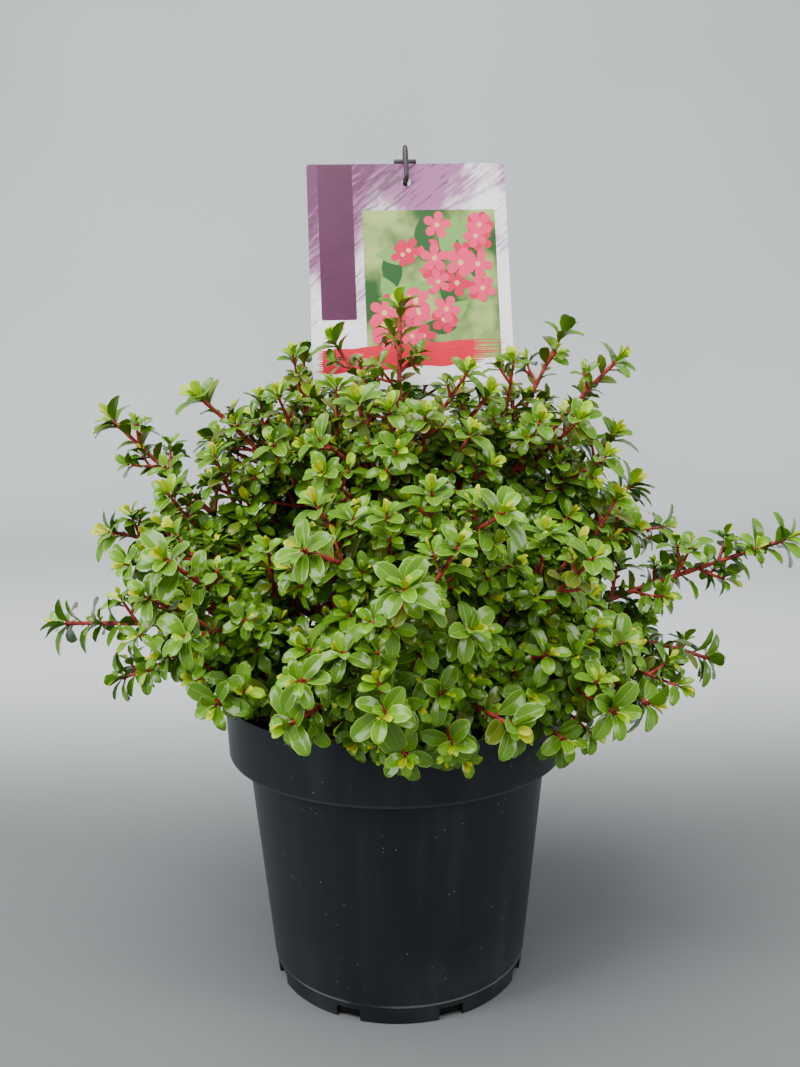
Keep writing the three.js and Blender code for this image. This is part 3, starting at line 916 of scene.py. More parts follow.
# %% Bring the boughs off the trunk
TRUNK_HEIGHT = 36.0
TRUNK_FLARE = 12.5
TRUNK_FOOT = 8.2
TRUNK_TOP = 5.6
TRUNK_LEAN = (2.0, -3.0)
BOUGH_SHARE = 0.34
BOUGH_FOOT = 3.0
BOUGH_TIP = 2.4
BOUGH_RISE = 9.0
BOUGH_LOWEST = 9.0

trunk_foot = Vector((0, 0, SOIL_MIDDLE + GAP))
trunk_top = Vector((*TRUNK_LEAN, trunk_foot.z + TRUNK_HEIGHT))


def trunk_share(z):
    return min(1, max(0, (z - trunk_foot.z) / TRUNK_HEIGHT))


def trunk_radius(z):
    share = trunk_share(z)
    flare = (TRUNK_FLARE - TRUNK_FOOT) * max(0, 1 - 4 * share) ** 2
    return blend(TRUNK_FOOT, TRUNK_TOP, share) + flare


def bough_path(aim, height):
    foot = trunk_foot.lerp(trunk_top, trunk_share(height))
    outward = Vector((aim.x - foot.x, aim.y - foot.y, 0)).normalized()
    climb = abs((aim - foot).normalized().z)
    start = foot + outward * (trunk_radius(height) + 1.2 * GAP + BOUGH_FOOT * climb)
    end = start.lerp(aim, BOUGH_SHARE) + UP * BOUGH_RISE
    return Path(start, start.lerp(end, 0.5) - UP * 0.5 * BOUGH_RISE, end)


def top_path(aim):
    start = trunk_top + UP * GAP
    end = start.lerp(aim, BOUGH_SHARE)
    return Path(start, Vector((start.x, start.y, (start.z + end.z) / 2)), end)


def runs_into(path, lines):
    clear = 2 * BOUGH_FOOT + GAP + 0.4
    places = path.points(LIMB_STEPS)
    return any(distance_to_line(place, line) <= clear for line in lines for place in places)


def plan_boughs():
    """A path for each bough, which leaves the trunk as low as its neighbours allow."""
    boughs = []
    for name, tips in CROWN.items():
        aim = middle_of([polar(*tip) for tip in tips])
        slope = (aim.z - trunk_top.z) / math.hypot(aim.x, aim.y)
        boughs.append({"name": name, "tips": tips, "aim": aim, "slope": slope})
    boughs.sort(key=lambda bough: bough["slope"])
    placed = []
    for bough in boughs:
        is_leader = bough is boughs[-1]
        height = trunk_foot.z + BOUGH_LOWEST
        path = top_path(bough["aim"]) if is_leader else bough_path(bough["aim"], height)
        while not is_leader and runs_into(path, placed):
            height += 1
            path = bough_path(bough["aim"], height)
        bough["path"] = path
        placed.append(path.points(LIMB_STEPS))
    return boughs


boughs = plan_boughs()
print("lengths of the boughs:", [round(bough["path"].length()) for bough in boughs], "mm")

# %% [markdown]
# At the end of a bough its leading shoots part, one to each tip that it serves. They start a
# little apart, each on the side where its tip lies, and bow slightly to the left or right by
# chance, because straight shoots would look drawn with a ruler. Each ends a little short of
# its tip, for the leaves at its end reach on.

# %% Part the leading shoots
SHOOT_APART = 2.5
SHOOT_BOW = 7.0
SHOOT_SHORT = 9.0


def fan_out(axis, targets):
    """Evenly spaced directions round an axis, near the bearings of the targets."""
    u = tilted(axis, 90, 0)
    v = axis.cross(u)
    turn = 2 * math.pi / len(targets)
    middle = middle_of(targets)
    bearings = [math.atan2((t - middle).dot(v), (t - middle).dot(u)) for t in targets]
    order = sorted(range(len(targets)), key=lambda i: bearings[i])
    shifts = [bearings[i] - rank * turn for rank, i in enumerate(order)]
    phase = math.atan2(sum(map(math.sin, shifts)), sum(map(math.cos, shifts)))
    bearings = [phase + order.index(i) * turn for i in range(len(targets))]
    return [u * math.cos(bearing) + v * math.sin(bearing) for bearing in bearings]


def plan_shoots(boughs):
    shoots = []
    for bough in boughs:
        along = bough["path"].aim(1)
        tip = bough["path"].end + along * GAP
        outline = [polar(*target) for target in bough["tips"]]
        targets = [place + (tip - place).normalized() * SHOOT_SHORT for place in outline]
        apart = SHOOT_APART if len(targets) > 1 else 0
        for target, direction in zip(targets, fan_out(along, targets)):
            number = len(shoots)
            start = tip + direction * apart
            reach = (target - start).length
            sideways = (target - start).cross(UP).normalized()
            bow = sideways * SHOOT_BOW * (2 * chance(number, 0, 1) - 1)
            bend = start.lerp(target, 0.25) + along * 0.22 * reach + bow
            shoots.append(Path(start, bend, target))
    return shoots


shoots = plan_shoots(boughs)
print("leading shoots:", len(shoots))

# %% [markdown]
# Old wood on this shrub is thin reddish brown bark that peels in short lengthwise flakes.
# A bump alone would leave the limb's outline smooth, so the relief is made in the mesh: the
# rings of each limb are pushed in and out by a noise that is stretched along the limb, with
# a knot here and there where a twig once grew.

# %% Bark on the trunk and boughs
TRUNK_SKIN, BOUGH_SKIN = 0.93, 0.92
RIDGE_SHARE, KNOT_SHARE = 0.13, 0.5
BURIED = 3


def bark_finish():
    bark = Finish("bark", Specular_IOR_Level=0.25)
    where = bark.place()
    flakes = bark.noise(bark.stretched(where, (1, 1, 3)), 420, 4, 0.6)
    patches = bark.noise(where, 70, 3)
    brown = flakes.ramp(0.38, 0.62).mix((0.060, 0.022, 0.014), (0.230, 0.105, 0.060))
    grey = patches.ramp(0.5, 0.75) * 0.55
    bark.use(Base_Color=grey.mix(brown, (0.240, 0.175, 0.130)), Roughness=0.7 + flakes * 0.2)
    bark.relief(flakes, 0.5)
    return bark


def bark_tube(line, radius_at, sides, steps, number):
    """Places and faces of one limb with its bark's relief; its number varies the relief."""
    places, faces = [], []
    is_steep = abs((line[-1] - line[0]).normalized().z) >= 0.9
    up = Vector((1, 0, 0)) if is_steep else UP
    for step in range(steps + 1):
        share = step / steps * (len(line) - 1)
        low = min(int(share), len(line) - 2)
        here = line[low].lerp(line[low + 1], share - low)
        axis = (line[low + 1] - line[low]).normalized()
        across = off_axis(up, axis).normalized()
        other = axis.cross(across)
        for side in range(sides):
            angle = 2 * math.pi * side / sides
            out = across * math.cos(angle) + other * math.sin(angle)
            ridge = noise.noise(Vector((out.x * 2.4, out.y * 2.4 + number, step * 0.22)))
            knot = max(0, noise.noise(Vector((out.x, out.y, step * 0.5 + 7 * number))) - 0.25)
            radius = radius_at(step / steps) * (1 + RIDGE_SHARE * ridge + KNOT_SHARE * knot)
            places.append(here + out * radius)
    for step in range(steps):
        for side in range(sides):
            a, b = step * sides + side, step * sides + (side + 1) % sides
            faces.append((a, b, b + sides, a + sides))
    faces.append(tuple(reversed(range(sides))))
    faces.append(tuple(range(steps * sides, (steps + 1) * sides)))
    return places, faces


def joined(name, tubes, finish):
    places, faces = [], []
    for tube_places, tube_faces in tubes:
        shift = len(places)
        places += tube_places
        faces += [tuple(i + shift for i in face) for face in tube_faces]
    return new_object(name, mesh_from(name, places, faces, finish))


def trunk_skin(share):
    return TRUNK_SKIN * trunk_radius(trunk_foot.z + share * TRUNK_HEIGHT)


def bough_skin(share):
    return BOUGH_SKIN * blend(BOUGH_FOOT, BOUGH_TIP, share)


def bough_tube(number, path):
    line = path.points(LIMB_STEPS)
    line[0] = line[0] - (line[1] - line[0]).normalized() * BURIED
    return bark_tube(line, bough_skin, 14, 44, number)


bark = bark_finish()
trunk_line = [trunk_foot.lerp(trunk_top, i / LIMB_STEPS) for i in range(LIMB_STEPS + 1)]
trunk_tube = bark_tube(trunk_line, trunk_skin, 28, 60, 1)
bough_tubes = [bough_tube(2 + i, bough["path"]) for i, bough in enumerate(boughs)]
bough_names = [name for name in nodes if name.startswith("bough_")]
ride_on_root(joined("trunk_bark", [trunk_tube], bark), ["trunk"])
ride_on_root(joined("bough_bark", bough_tubes, bark), bough_names)

# %% [markdown]
# ## Growing shoots, twigs and leaves
# A real shoot grows round whatever stands in its way, so no leaf may go through the pot's
# wall, the compost, the card or its stem. Where those stand is worked out first. The card
# is easiest to write down lying flat, so it has a frame of its own, and one matrix takes it
# to its place in the shrub.

# %% Room that growth keeps clear of
CARD_WIDTH, CARD_HEIGHT, CARD_THICKNESS = 132.0, 150.0, 0.8
CARD_TOP = Vector((10.6, 56, 532.6))
CARD_LEAN, CARD_TURN, CARD_TILT = 15.0, 4.0, 0.5
STICK_RADIUS = 1.6
STICK_SUNK = 42
RIM_CLEAR, WALL_CLEAR, SOIL_CLEAR = 1, 2, 1.5
CARD_CLEAR, CARD_FACE_CLEAR, STEM_CLEAR = 1.5, 2.2, 2.5
HOOK_BEHIND = CARD_THICKNESS / 2 + GAP + STICK_RADIUS
card_frame = (
    Matrix.Translation(CARD_TOP)
    @ Matrix.Rotation(math.radians(CARD_TURN), 4, "Z")
    @ Matrix.Rotation(math.radians(90 - CARD_LEAN), 4, "X")
    @ Matrix.Rotation(math.radians(CARD_TILT), 4, "Z")
)
to_card = card_frame.inverted()
stick_foot = Vector((9, 40, SOIL_EDGE - STICK_SUNK))
bar_place = card_frame @ Vector((0, 3.4, -HOOK_BEHIND - 2))
stick_top = card_frame @ Vector((0, 9, -HOOK_BEHIND - 1.5))


def is_free(place):
    """Whether a place is clear of the pot, the compost, the card and its stem."""
    radius = math.hypot(place.x, place.y)
    if place.z < POT_HEIGHT + RIM_CLEAR and radius < RIM_RADIUS + RIM_CLEAR:
        in_well = radius < RIM_RADIUS - WALL - WALL_CLEAR
        if not (in_well and place.z > soil_height(place.x, place.y) + SOIL_CLEAR):
            return False
    local = to_card @ place
    beside = abs(local.x) > CARD_WIDTH / 2 + CARD_CLEAR
    past = local.y < -CARD_HEIGHT - CARD_CLEAR or local.y > 2 * CARD_CLEAR
    if not beside and not past and abs(local.z) < CARD_FACE_CLEAR:
        return False
    return distance_to_line(place, [stick_foot, stick_top]) > STEM_CLEAR


print("card's lower edge:", [round(v) for v in card_frame @ Vector((0, -CARD_HEIGHT, 0))], "mm")

# %% [markdown]
# A leaf is noted by its foot, the way that it points and the way that it faces: to the light,
# with a little twist. Leaves at the top of the crown are smaller and closer to their stem, and
# take darker kinds there, which is painted shade; low leaves take slightly lighter ones. The
# heart of the crown is bare, because no light reaches it. All of this could be one great
# Geometry Nodes tree, but a plant decides each step from what has grown before, which plain
# Python says best. So growth only notes where each leaf and each stem goes, and the trees make
# the meshes. Three points of a leaf are tested against the pot, the compost, the card and its
# stem. Leaves aren't tested against each other, so many cross.

# %% Note a leaf where there is room
LEAF_KINDS = ["deep", "mid", "fresh", "young", "flush"]
CROWN_HEART = 205
CROWN_REACH = (190, 180, 225)
BARE_CORE = 0.38
THINS_FROM, THINS_TO = 270, 400
PAINTED_SHADE_BY_HEIGHT = (0.1, -0.8)
TILT_BY_HEIGHT = (1, 0.82)
LENGTH_BY_HEIGHT = (1.04, 0.88)
TO_LIGHT = Vector((-0.1, -0.5, 0.86))
LEAF_TWIST = 1.1

leaf_places = {kind: [] for kind in LEAF_KINDS}


def depth_in_crown(place):
    """0 at the crown's heart and about 1 at its outline."""
    wide, deep, high = CROWN_REACH
    return math.hypot(place.x / wide, place.y / deep, (place.z - CROWN_HEART) / high)


def height_share(place):
    """0 in the lower crown and 1 at its top, where leaves are smaller and sparser, and darker by
    painted shade.
    """
    return min(1, max(0, (place.z - THINS_FROM) / (THINS_TO - THINS_FROM)))


def add_leaf(lightness, foot, axis, tilt, angle, length):
    """Note one leaf, tilted off its stem, unless its way is blocked or it would hide inside."""
    if depth_in_crown(foot) < BARE_CORE:
        return
    height = height_share(foot)
    # Painted shade: apart from the young kinds, leaves high in the crown take darker kinds and low
    # ones slightly lighter.
    if lightness < LEAF_KINDS.index("young"):
        lightness += blend(*PAINTED_SHADE_BY_HEIGHT, height)
    direction = tilted(axis, tilt * blend(*TILT_BY_HEIGHT, height), angle)
    length *= blend(*LENGTH_BY_HEIGHT, height)
    if not all(is_free(foot + direction * length * share) for share in (0.4, 0.75, 1)):
        return
    kind = LEAF_KINDS[min(4, max(0, int(lightness)))]
    twist = Vector((chance(len(leaf_places[kind]), k, 91) - 0.5 for k in range(3)))
    face = off_axis(axis + TO_LIGHT + twist * LEAF_TWIST, direction).normalized()
    turn = Matrix((direction.cross(face), direction, face)).transposed().to_euler()
    leaf_places[kind].append((foot, turn, length))


print("kinds of leaf, from old to young:", ", ".join(LEAF_KINDS))

# %% [markdown]
# Each shoot and twig ends in a rosette: four or five full leaves spread flat, two or three
# smaller ones inside them and the youngest upright in the middle. Single leaves climb the
# stem below it. Each is turned by the golden angle from the last, so that no two of them
# stand in one line, and some hold a tuft of two small ones in the angle above.

# %% Open a rosette and clothe a stem
GOLDEN_ANGLE = 137.508
RING_TURN = 61
STEM_LEAF_TILT = 56
STEM_LEAF_LENGTHS = (11.6, 15.2)
TUFT_LENGTHS = (5, 8)
TUFT_APART = 70
SPACING_BY_HEIGHT = (1, 1.6)


def add_rosette(path, shoot, twig, vigour, lightness):
    turn = 360 * chance(shoot, twig, 60)
    full = 5 if chance(shoot, twig, 61) < vigour - 0.4 else 4
    inner, heart = (3, 2) if vigour > 0.86 else (2, 1)
    # Each ring's count, tilt and length, how far ahead it sits and how much lighter it is
    rings = [(full, 66, 16.4, 0.0, 0.6), (inner, 42, 12.4, 2.4, 1.6), (heart, 14, 9.4, 4.0, 3.3)]
    for ring, (count, tilt, length, ahead, lighter) in enumerate(rings):
        for i in range(count):
            roll = chance(shoot, twig, 70 + 10 * ring + i)
            other = chance(shoot, twig, 170 + 10 * ring + i)
            foot = path.end + path.aim(1) * (ahead - 1.5 - 1.2 * roll)
            angle = turn + RING_TURN * ring + 360 * (i + 0.35 * (other - 0.5)) / count
            size = spread_by(length * vigour, 0.18, other)
            tone = min(lightness + 0.6 * roll, 1.9) + lighter
            add_leaf(tone, foot, path.aim(1), spread_by(tilt, 0.2, roll), angle, size)


def add_stem_leaves(path, first, last, shoot, twig, vigour, lightness, spacing, tufted):
    spacing *= blend(*SPACING_BY_HEIGHT, height_share(path.at(0.5)))
    count = max(1, round((last - first) * path.length() / spacing))
    for i in range(count):
        share = blend(first, last, (i + 0.5) / count)
        roll = chance(shoot, twig, 300 + i)
        angle = GOLDEN_ANGLE * i + 360 * chance(shoot, twig, 290)
        foot, axis = path.at(share), path.aim(share)
        size = spread_by(blend(*STEM_LEAF_LENGTHS, share) * vigour, 0.22, roll)
        tone = lightness + 1.1 * chance(shoot, twig, 420 + i) + 0.4 * share
        add_leaf(tone, foot, axis, spread_by(STEM_LEAF_TILT, 0.22, roll), angle, size)
        if chance(shoot, twig, 340 + i) < tufted:
            for k in range(2):
                tuft_angle = angle + TUFT_APART * (k - 0.5)
                size = blend(*TUFT_LENGTHS, chance(shoot, twig, 380 + 3 * i + k))
                add_leaf(lightness + 1.4, foot + axis, axis, 36 + 8 * k, tuft_angle, size)


# %% [markdown]
# A stem puts out twigs all round it, shorter towards its tip, and a long twig forks once or
# twice. Twigs set out by the tree above would run into the pot, the compost and the card.
# So each one is tried in turn, and where its way is blocked it is tried again shorter.

# %% Put out twigs
TWIG_LEAVES = {"spacing": 6.2, "tufted": 0.22}
TWIG_VIGOUR = (0.66, 0.96)
TWIG_THICK, FORK_THICK, TWIG_TIP_THICK = 1.3, 1.05, 0.8
FORK_SHARES, FORK_TILT, FORK_LEAST = (0.38, 0.68), 48, 9
TWIG_AHEAD = 7

young_lines = []


def line_along(path, thick, thin, steps, knots=0.0):
    """Points with a radius at each, which swells at every other one as at old leaf scars."""
    swell = [1 + knots * (i % 2) for i in range(steps + 1)]
    radii = [blend(thick, thin, i / steps) * swell[i] for i in range(steps + 1)]
    return path.points(steps), radii


def grow_twig(foot, direction, length, shoot, twig, lightness, forks=True):
    """One twig, bent a little to the light, with its leaves and at most two forks."""
    bend = foot + direction * 0.5 * length
    end = bend + (direction + UP * 0.24).normalized() * 0.5 * length
    ahead = end + (end - bend).normalized() * TWIG_AHEAD
    path = Path(foot, bend, end)
    if not all(is_free(path.at(share)) for share in (0.3, 0.65, 1)) or not is_free(ahead):
        return False
    vigour = spread_by(blend(*TWIG_VIGOUR, min(1, length / 40)), 0.08, chance(shoot, twig, 50))
    young_lines.append(line_along(path, TWIG_THICK if forks else FORK_THICK, TWIG_TIP_THICK, 3))
    add_stem_leaves(path, 0.16, 0.86, shoot, twig, vigour, lightness, **TWIG_LEAVES)
    add_rosette(path, shoot, twig, vigour, lightness)
    if forks:
        for fork, share in enumerate(FORK_SHARES):
            if length * (1 - share) < FORK_LEAST:
                continue
            angle = 360 * chance(shoot, twig, 55) + 150 * fork
            aim = (tilted(path.aim(share), FORK_TILT, angle) + UP * 0.2).normalized()
            size = spread_by(0.46 * length, 0.25, chance(shoot, twig, 57 + fork))
            number = 1000 + 10 * twig + fork
            grow_twig(path.at(share), aim, size, shoot, number, lightness, forks=False)
    return True


def grow_side_twigs(path, first, last, spacing, lengths, shoot, lightness, tilt=54):
    """Twigs round a stretch of a stem; one that finds no room is tried again shorter."""
    count = round((last - first) * path.length() / spacing)
    for i in range(count):
        share = blend(first, last, (i + 0.7 * chance(shoot, i, 2)) / count)
        angle = GOLDEN_ANGLE * i + 360 * chance(shoot, 0, 3)
        length = spread_by(blend(*lengths, share**0.8), 0.25, chance(shoot, i, 4))
        aim = (tilted(path.aim(share), tilt, angle) + UP * 0.1).normalized()
        tone = blend(lightness, lightness + 1.0, share) + 0.5 * chance(shoot, i, 5)
        for shorter in (1, 0.7, 0.45):
            if grow_twig(path.at(share), aim, length * shorter, shoot, i + 1, tone):
                break


# %% [markdown]
# A leading shoot is red, but brown where it is oldest, at its foot. Weaker side shoots part
# from it and from its bough, or the crown would be a bundle of separate plumes. Of ten
# bearings a side shoot takes the one with the most room, if that is still near a limb.

# %% Grow the crown
SHOOT_LEAVES = {"spacing": 3.9, "tufted": 0.4}
SHOOT_TAPER, SHOOT_KNOTS = 0.58, 0.2
OLD_SHARE = 0.36
TIP_TONES = (0.6, 1.6)
TWIG_SPACING = 14
SIDE_BEARINGS = 10
SIDE_REACH, SIDE_LIMIT, SHOOT_AHEAD = 40, 0.96, 9
LEADER = {"thick": 2.0, "lengths": (44, 9), "vigour": 1.14}
SIDE_SHOOT = {"thick": 1.5, "lengths": (30, 7), "vigour": 0.96}

red_lines, old_lines = [], []
leader_lines = [path.points(8) for path in shoots + [bough["path"] for bough in boughs]]
taken_places = [path.at(share) for path in shoots for share in (0.3, 0.5, 0.7, 0.9)]


def in_reach(place):
    """Whether a place is near enough to a bough or a leading shoot to belong to its mass."""
    return any(distance_to_line(place, line) < SIDE_REACH for line in leader_lines)


def room_at(place):
    """How far the nearest shoot that was grown before is from a place."""
    return min((place - taken).length for taken in taken_places)


def grow_shoot(path, number, thick, lengths, vigour):
    """A leading or side shoot, brown at its foot and red above, with its leaves and twigs."""
    steps = max(8, round(path.length() / 5))
    points, radii = line_along(path, thick, SHOOT_TAPER * thick, steps, SHOOT_KNOTS)
    turning = round(OLD_SHARE * len(points))
    old_lines.append((points[: turning + 1], radii[: turning + 1]))
    red_lines.append((points[turning:], radii[turning:]))
    last_leaf = 1 - 4 / path.length()
    add_stem_leaves(path, 0.12, last_leaf, number, 0, vigour, 0.25, **SHOOT_LEAVES)
    add_rosette(path, number, 99, vigour, blend(*TIP_TONES, height_share(path.end)))
    grow_side_twigs(path, 0.06, 0.9, TWIG_SPACING, lengths, number, 0.0)


def side_path(foot, aim, length):
    bend = foot + aim * 0.5 * length
    return Path(foot, bend, bend + (aim + UP * 0.15).normalized() * 0.5 * length)


def side_choices(path, share, tilt, length, roll):
    """Side shoots that would fit at a place on a limb, each with the room that it finds."""
    choices = []
    for bearing in range(SIDE_BEARINGS):
        aim = tilted(path.aim(share), tilt, 360 / SIDE_BEARINGS * (bearing + roll))
        for shorter in (1, 0.75, 0.5):
            side = side_path(path.at(share), aim, length * shorter)
            ahead = side.end + side.aim(1) * SHOOT_AHEAD
            if is_free(ahead) and all(is_free(side.at(k / 8)) for k in range(2, 9)):
                if in_reach(side.end) and depth_in_crown(side.end) < SIDE_LIMIT:
                    choices.append((room_at(side.end) + 0.15 * length * shorter, side))
                break
    return choices


def grow_side_shoots(path, shares, tilt, reach, shoot):
    """Weaker shoots that part from a limb, each towards the most open room round it."""
    for i, share in enumerate(shares):
        length = spread_by(reach * (1 - 0.75 * share), 0.18, chance(shoot, i, 7))
        choices = side_choices(path, share, tilt, length, chance(shoot, i, 6))
        if choices:
            side = max(choices, key=lambda choice: choice[0])[1]
            taken_places.extend([side.at(0.55), side.end])
            grow_shoot(side, 400 + 10 * shoot + i, **SIDE_SHOOT)


for number, path in enumerate(shoots):
    grow_shoot(path, number, **LEADER)
    grow_side_shoots(path, (0.06, 0.2, 0.36, 0.52), 40, 0.68 * path.length(), number)
for number, bough in enumerate(boughs):
    grow_side_twigs(bough["path"], 0.5, 0.98, 18, (40, 46), 200 + number, -0.4, tilt=62)
    grow_side_shoots(bough["path"], (0.5, 0.8), 52, 120, 60 + number)
leaf_count = {kind: len(places) for kind, places in leaf_places.items()}
print("leaves:", leaf_count, sum(leaf_count.values()), "twigs:", len(young_lines))

# %% [markdown]
# ## Twigs
# A twig is a line with a thickness at each point, so Curve to Mesh suits it: the tree turns
# each line into a curve and sweeps a ring along it. Young wood of this shrub is crimson, the
# shoots are a deeper red that has turned brown at the foot, and all of it has pale scars
# where leaves have fallen. So there are three lots of wood, one for each age, and one finish
# in three pairs of colours.

# %% The tree that sweeps twigs


def twig_tree():
    tree, take, result = new_tree("sweep_twigs", [("Sides", "Int"), ("Finish", "Material")])
    lines = add_node(tree, "GeometryNodeMeshToCurve", {"Mesh": take("Geometry")})
    ring = add_node(
        tree, "GeometryNodeCurvePrimitiveCircle", {"Resolution": take("Sides"), "Radius": 1.0}
    )
    thickness = named(tree, "FLOAT", "thickness")
    inputs = {"Curve": lines, "Profile Curve": ring, "Scale": thickness, "Fill Caps": True}
    swept = add_node(tree, "GeometryNodeCurveToMesh", inputs)
    smooth = add_node(tree, "GeometryNodeSetShadeSmooth", {"Geometry": swept})
    solid = add_node(tree, "GeometryNodeRealizeInstances", {"Geometry": smooth})
    painted = finished(tree, solid, take("Finish"))
    tree.links.new(painted.socket, result.inputs["Geometry"])
    return tree


SWEEP = twig_tree()


def sweep(name, lines, sides, finish):
    """One piece of round stems from lines, each a list of points and a list of radii."""
    places, edges, sizes = [], [], []
    for points, radii in lines:
        shift = len(places)
        places += [point * MM for point in points]
        edges += [(shift + i, shift + i + 1) for i in range(len(points) - 1)]
        sizes += [radius * MM for radius in radii]
    mesh = bpy.data.meshes.new(name)
    mesh.from_pydata(places, edges, [])
    write_attribute(mesh, "thickness", "FLOAT", "POINT", sizes)
    return new_object(name, grown(name, mesh, SWEEP, Sides=sides, Finish=finish.material))


def red_wood(name, dark, light):
    wood = Finish(name, Specular_IOR_Level=0.3)
    where = wood.place()
    mottle = wood.noise(where, 240, 4, 0.6)
    scars = wood.noise(where, 560, 2).ramp(0.58, 0.68) * 0.6
    skin = mottle.ramp(0.38, 0.62).mix(dark, light)
    wood.use(Base_Color=scars.mix(skin, (0.30, 0.14, 0.08)), Roughness=0.45 + mottle * 0.25)
    wood.relief(mottle + scars * 0.4, 0.5)
    return wood


foliage_names = [name for name in nodes if name.startswith("foliage_")]
shoot_wood = red_wood("shoot_wood", (0.170, 0.015, 0.013), (0.450, 0.048, 0.038))
twig_wood = red_wood("twig_wood", (0.240, 0.018, 0.014), (0.500, 0.060, 0.042))
old_wood = red_wood("old_wood", (0.120, 0.040, 0.018), (0.330, 0.150, 0.070))
ride_on_root(sweep("leading_shoots", red_lines, 8, shoot_wood), foliage_names)
ride_on_root(sweep("shoot_feet", old_lines, 7, old_wood))
ride_on_root(sweep("side_twigs", young_lines, 5, twig_wood))

# %% [markdown]
# ## Leaves
# An escallonia leaf is widest past its middle, blunt, glossy and folded a little along a
# pale sunken midrib, with a red foot. Its thick edge catches the light as a pale line, which
# is painted here as a highlight strip along the margin. Its fine teeth are smaller than a
# face of its mesh. A flat plane with a picture of a leaf would be lighter still, but it has
# no edge and no underside, so each blade is a closed lens: an upper side of two strips or
# more and a keel below. Three sizes share the work. Great ones, near the crown's outline,
# have a rib and the painted highlight on the margin, full ones have a rib, and small ones
# have neither. Older kinds curl back at the tip and young ones stay cupped, so each kind has
# its own shape.

# %% Shape the blades
OUTLINES = {
    "great": [(0, 0.1), (0.13, 0.18), (0.41, 0.84), (0.68, 1), (0.9, 0.76), (1, 0.3)],
    "full": [(0, 0.12), (0.14, 0.2), (0.52, 0.95), (0.84, 0.88), (1, 0.28)],
    "small": [(0, 0.14), (0.15, 0.24), (0.7, 1), (1, 0.4)],
}
WIDTH_FOLD_CURL = {
    "deep": (0.52, 0.48, 0.26),
    "mid": (0.54, 0.54, 0.28),
    "fresh": (0.55, 0.58, 0.20),
    "young": (0.52, 0.66, 0.08),
    "flush": (0.50, 0.72, -0.04),
}
RIB_HALF = 0.015
# EDGE_STRIP is the width of the margin strip on great leaves, which carries a painted highlight.
EDGE_STRIP = 0.026
ARCH = 0.24
KEEL_DEPTH = 0.04


def blade_row(size, t, half, fold, bend):
    """Places across a blade at one share of its length, from edge to edge, and its keel."""
    rib = min(RIB_HALF * (1 - 0.6 * t), 0.6 * half)
    inner = max(half - EDGE_STRIP, rib)
    across = {
        "great": [rib, 0.55 * inner, inner, half],
        "full": [rib, half],
        "small": [0, half],
    }[size]
    right = [(x, t, bend + fold * x - ARCH * x * x / half) for x in across]
    left = [(-x, y, z) for x, y, z in reversed(right) if x > 0]
    return [*left, *right, (0, t, bend - KEEL_DEPTH * (1 - 0.6 * t))]


def blade(size, kind):
    """A leaf of length 1 along +Y, with its face to +Z; widths are shares of its length."""
    outline = OUTLINES[size]
    width, fold, curl = WIDTH_FOLD_CURL[kind]
    places, faces, second, foot = [], [], [], []
    for t, share in outline:
        bend = -curl * t * t + 0.05 * math.sin(math.pi * t)
        places += blade_row(size, t, width / 2 * share, fold, bend)
    ring = len(places) // len(outline)
    rib_side = ring // 2 - 1
    # On great leaves sides 0 and ring - 3 are the margin strips, painted in the rib's paler colour
    # as a highlight along the edge; the rib side is the real pale midrib.
    rib_and_highlight_sides = {"great": (0, rib_side, ring - 3), "full": (rib_side,), "small": ()}[size]
    for row in range(len(outline) - 1):
        for side in range(ring):
            a, b = ring * row + side, ring * row + (side + 1) % ring
            faces.append((a, b, b + ring, a + ring))
            second.append(side in rib_and_highlight_sides)
            foot.append(row == 0)
    faces += [tuple(reversed(range(ring))), tuple(range(len(places) - ring, len(places)))]
    name = f"blade_{size}_{kind}"
    mesh = bpy.data.meshes.new(name)
    mesh.from_pydata([Vector(p) * MM for p in places], [], faces)
    mesh.shade_smooth()
    margin = [all(v % ring in (0, ring - 2) for v in edge.vertices) for edge in mesh.edges]
    write_attribute(mesh, "second", "BOOLEAN", "FACE", [*second, False, False])
    write_attribute(mesh, "foot", "BOOLEAN", "FACE", [*foot, True, False])
    write_attribute(mesh, "sharp_edge", "BOOLEAN", "EDGE", margin)
    mesh.update()
    return new_object(name, mesh)


print("rows across each blade:", {size: len(outline) for size, outline in OUTLINES.items()})

# %% [markdown]
# The youngest leaves of this shrub are yellow with a red rib, and they darken with age. So
# tone goes by age first and by height second, where darker kinds high in the crown are painted
# shade: growth gave each leaf one of five kinds, and each kind is a plain colour with a rib
# that is paler, or redder on the young. The rib's colour also lies on the margin strips of
# great leaves, as a painted highlight along the edge. A leaf's gloss comes from a low
# roughness. Leaves of one kind and size are joined into a few large pieces, because thousands
# of objects would slow every tool that opens the model.

# %% Dress the crown with leaves
# Each kind: its colour, its rib's colour, which on great leaves also paints a highlight along the
# margin, and its roughness.
COLOUR_RIB_HIGHLIGHT_ROUGHNESS = {
    "deep": ((0.108, 0.154, 0.012), (0.190, 0.230, 0.030), 0.21),
    "mid": ((0.083, 0.194, 0.009), (0.180, 0.335, 0.032), 0.18),
    "fresh": ((0.126, 0.292, 0.010), (0.260, 0.465, 0.034), 0.19),
    "young": ((0.290, 0.500, 0.002), (0.460, 0.330, 0.014), 0.28),
    "flush": ((0.430, 0.480, 0.002), (0.500, 0.080, 0.014), 0.34),
}
GREAT_LENGTH, FULL_LENGTH = 13.5, 9.5
GREAT_DEPTH, FULL_DEPTH = 0.72, 0.62
FIRST_SEEDS = {"great": 21, "full": 1, "small": 11}
LEAVES_PER_PIECE = 1800


def leaf_finish(name, colour, roughness):
    return Finish(name, Base_Color=colour, Roughness=roughness, Specular_IOR_Level=0.34)


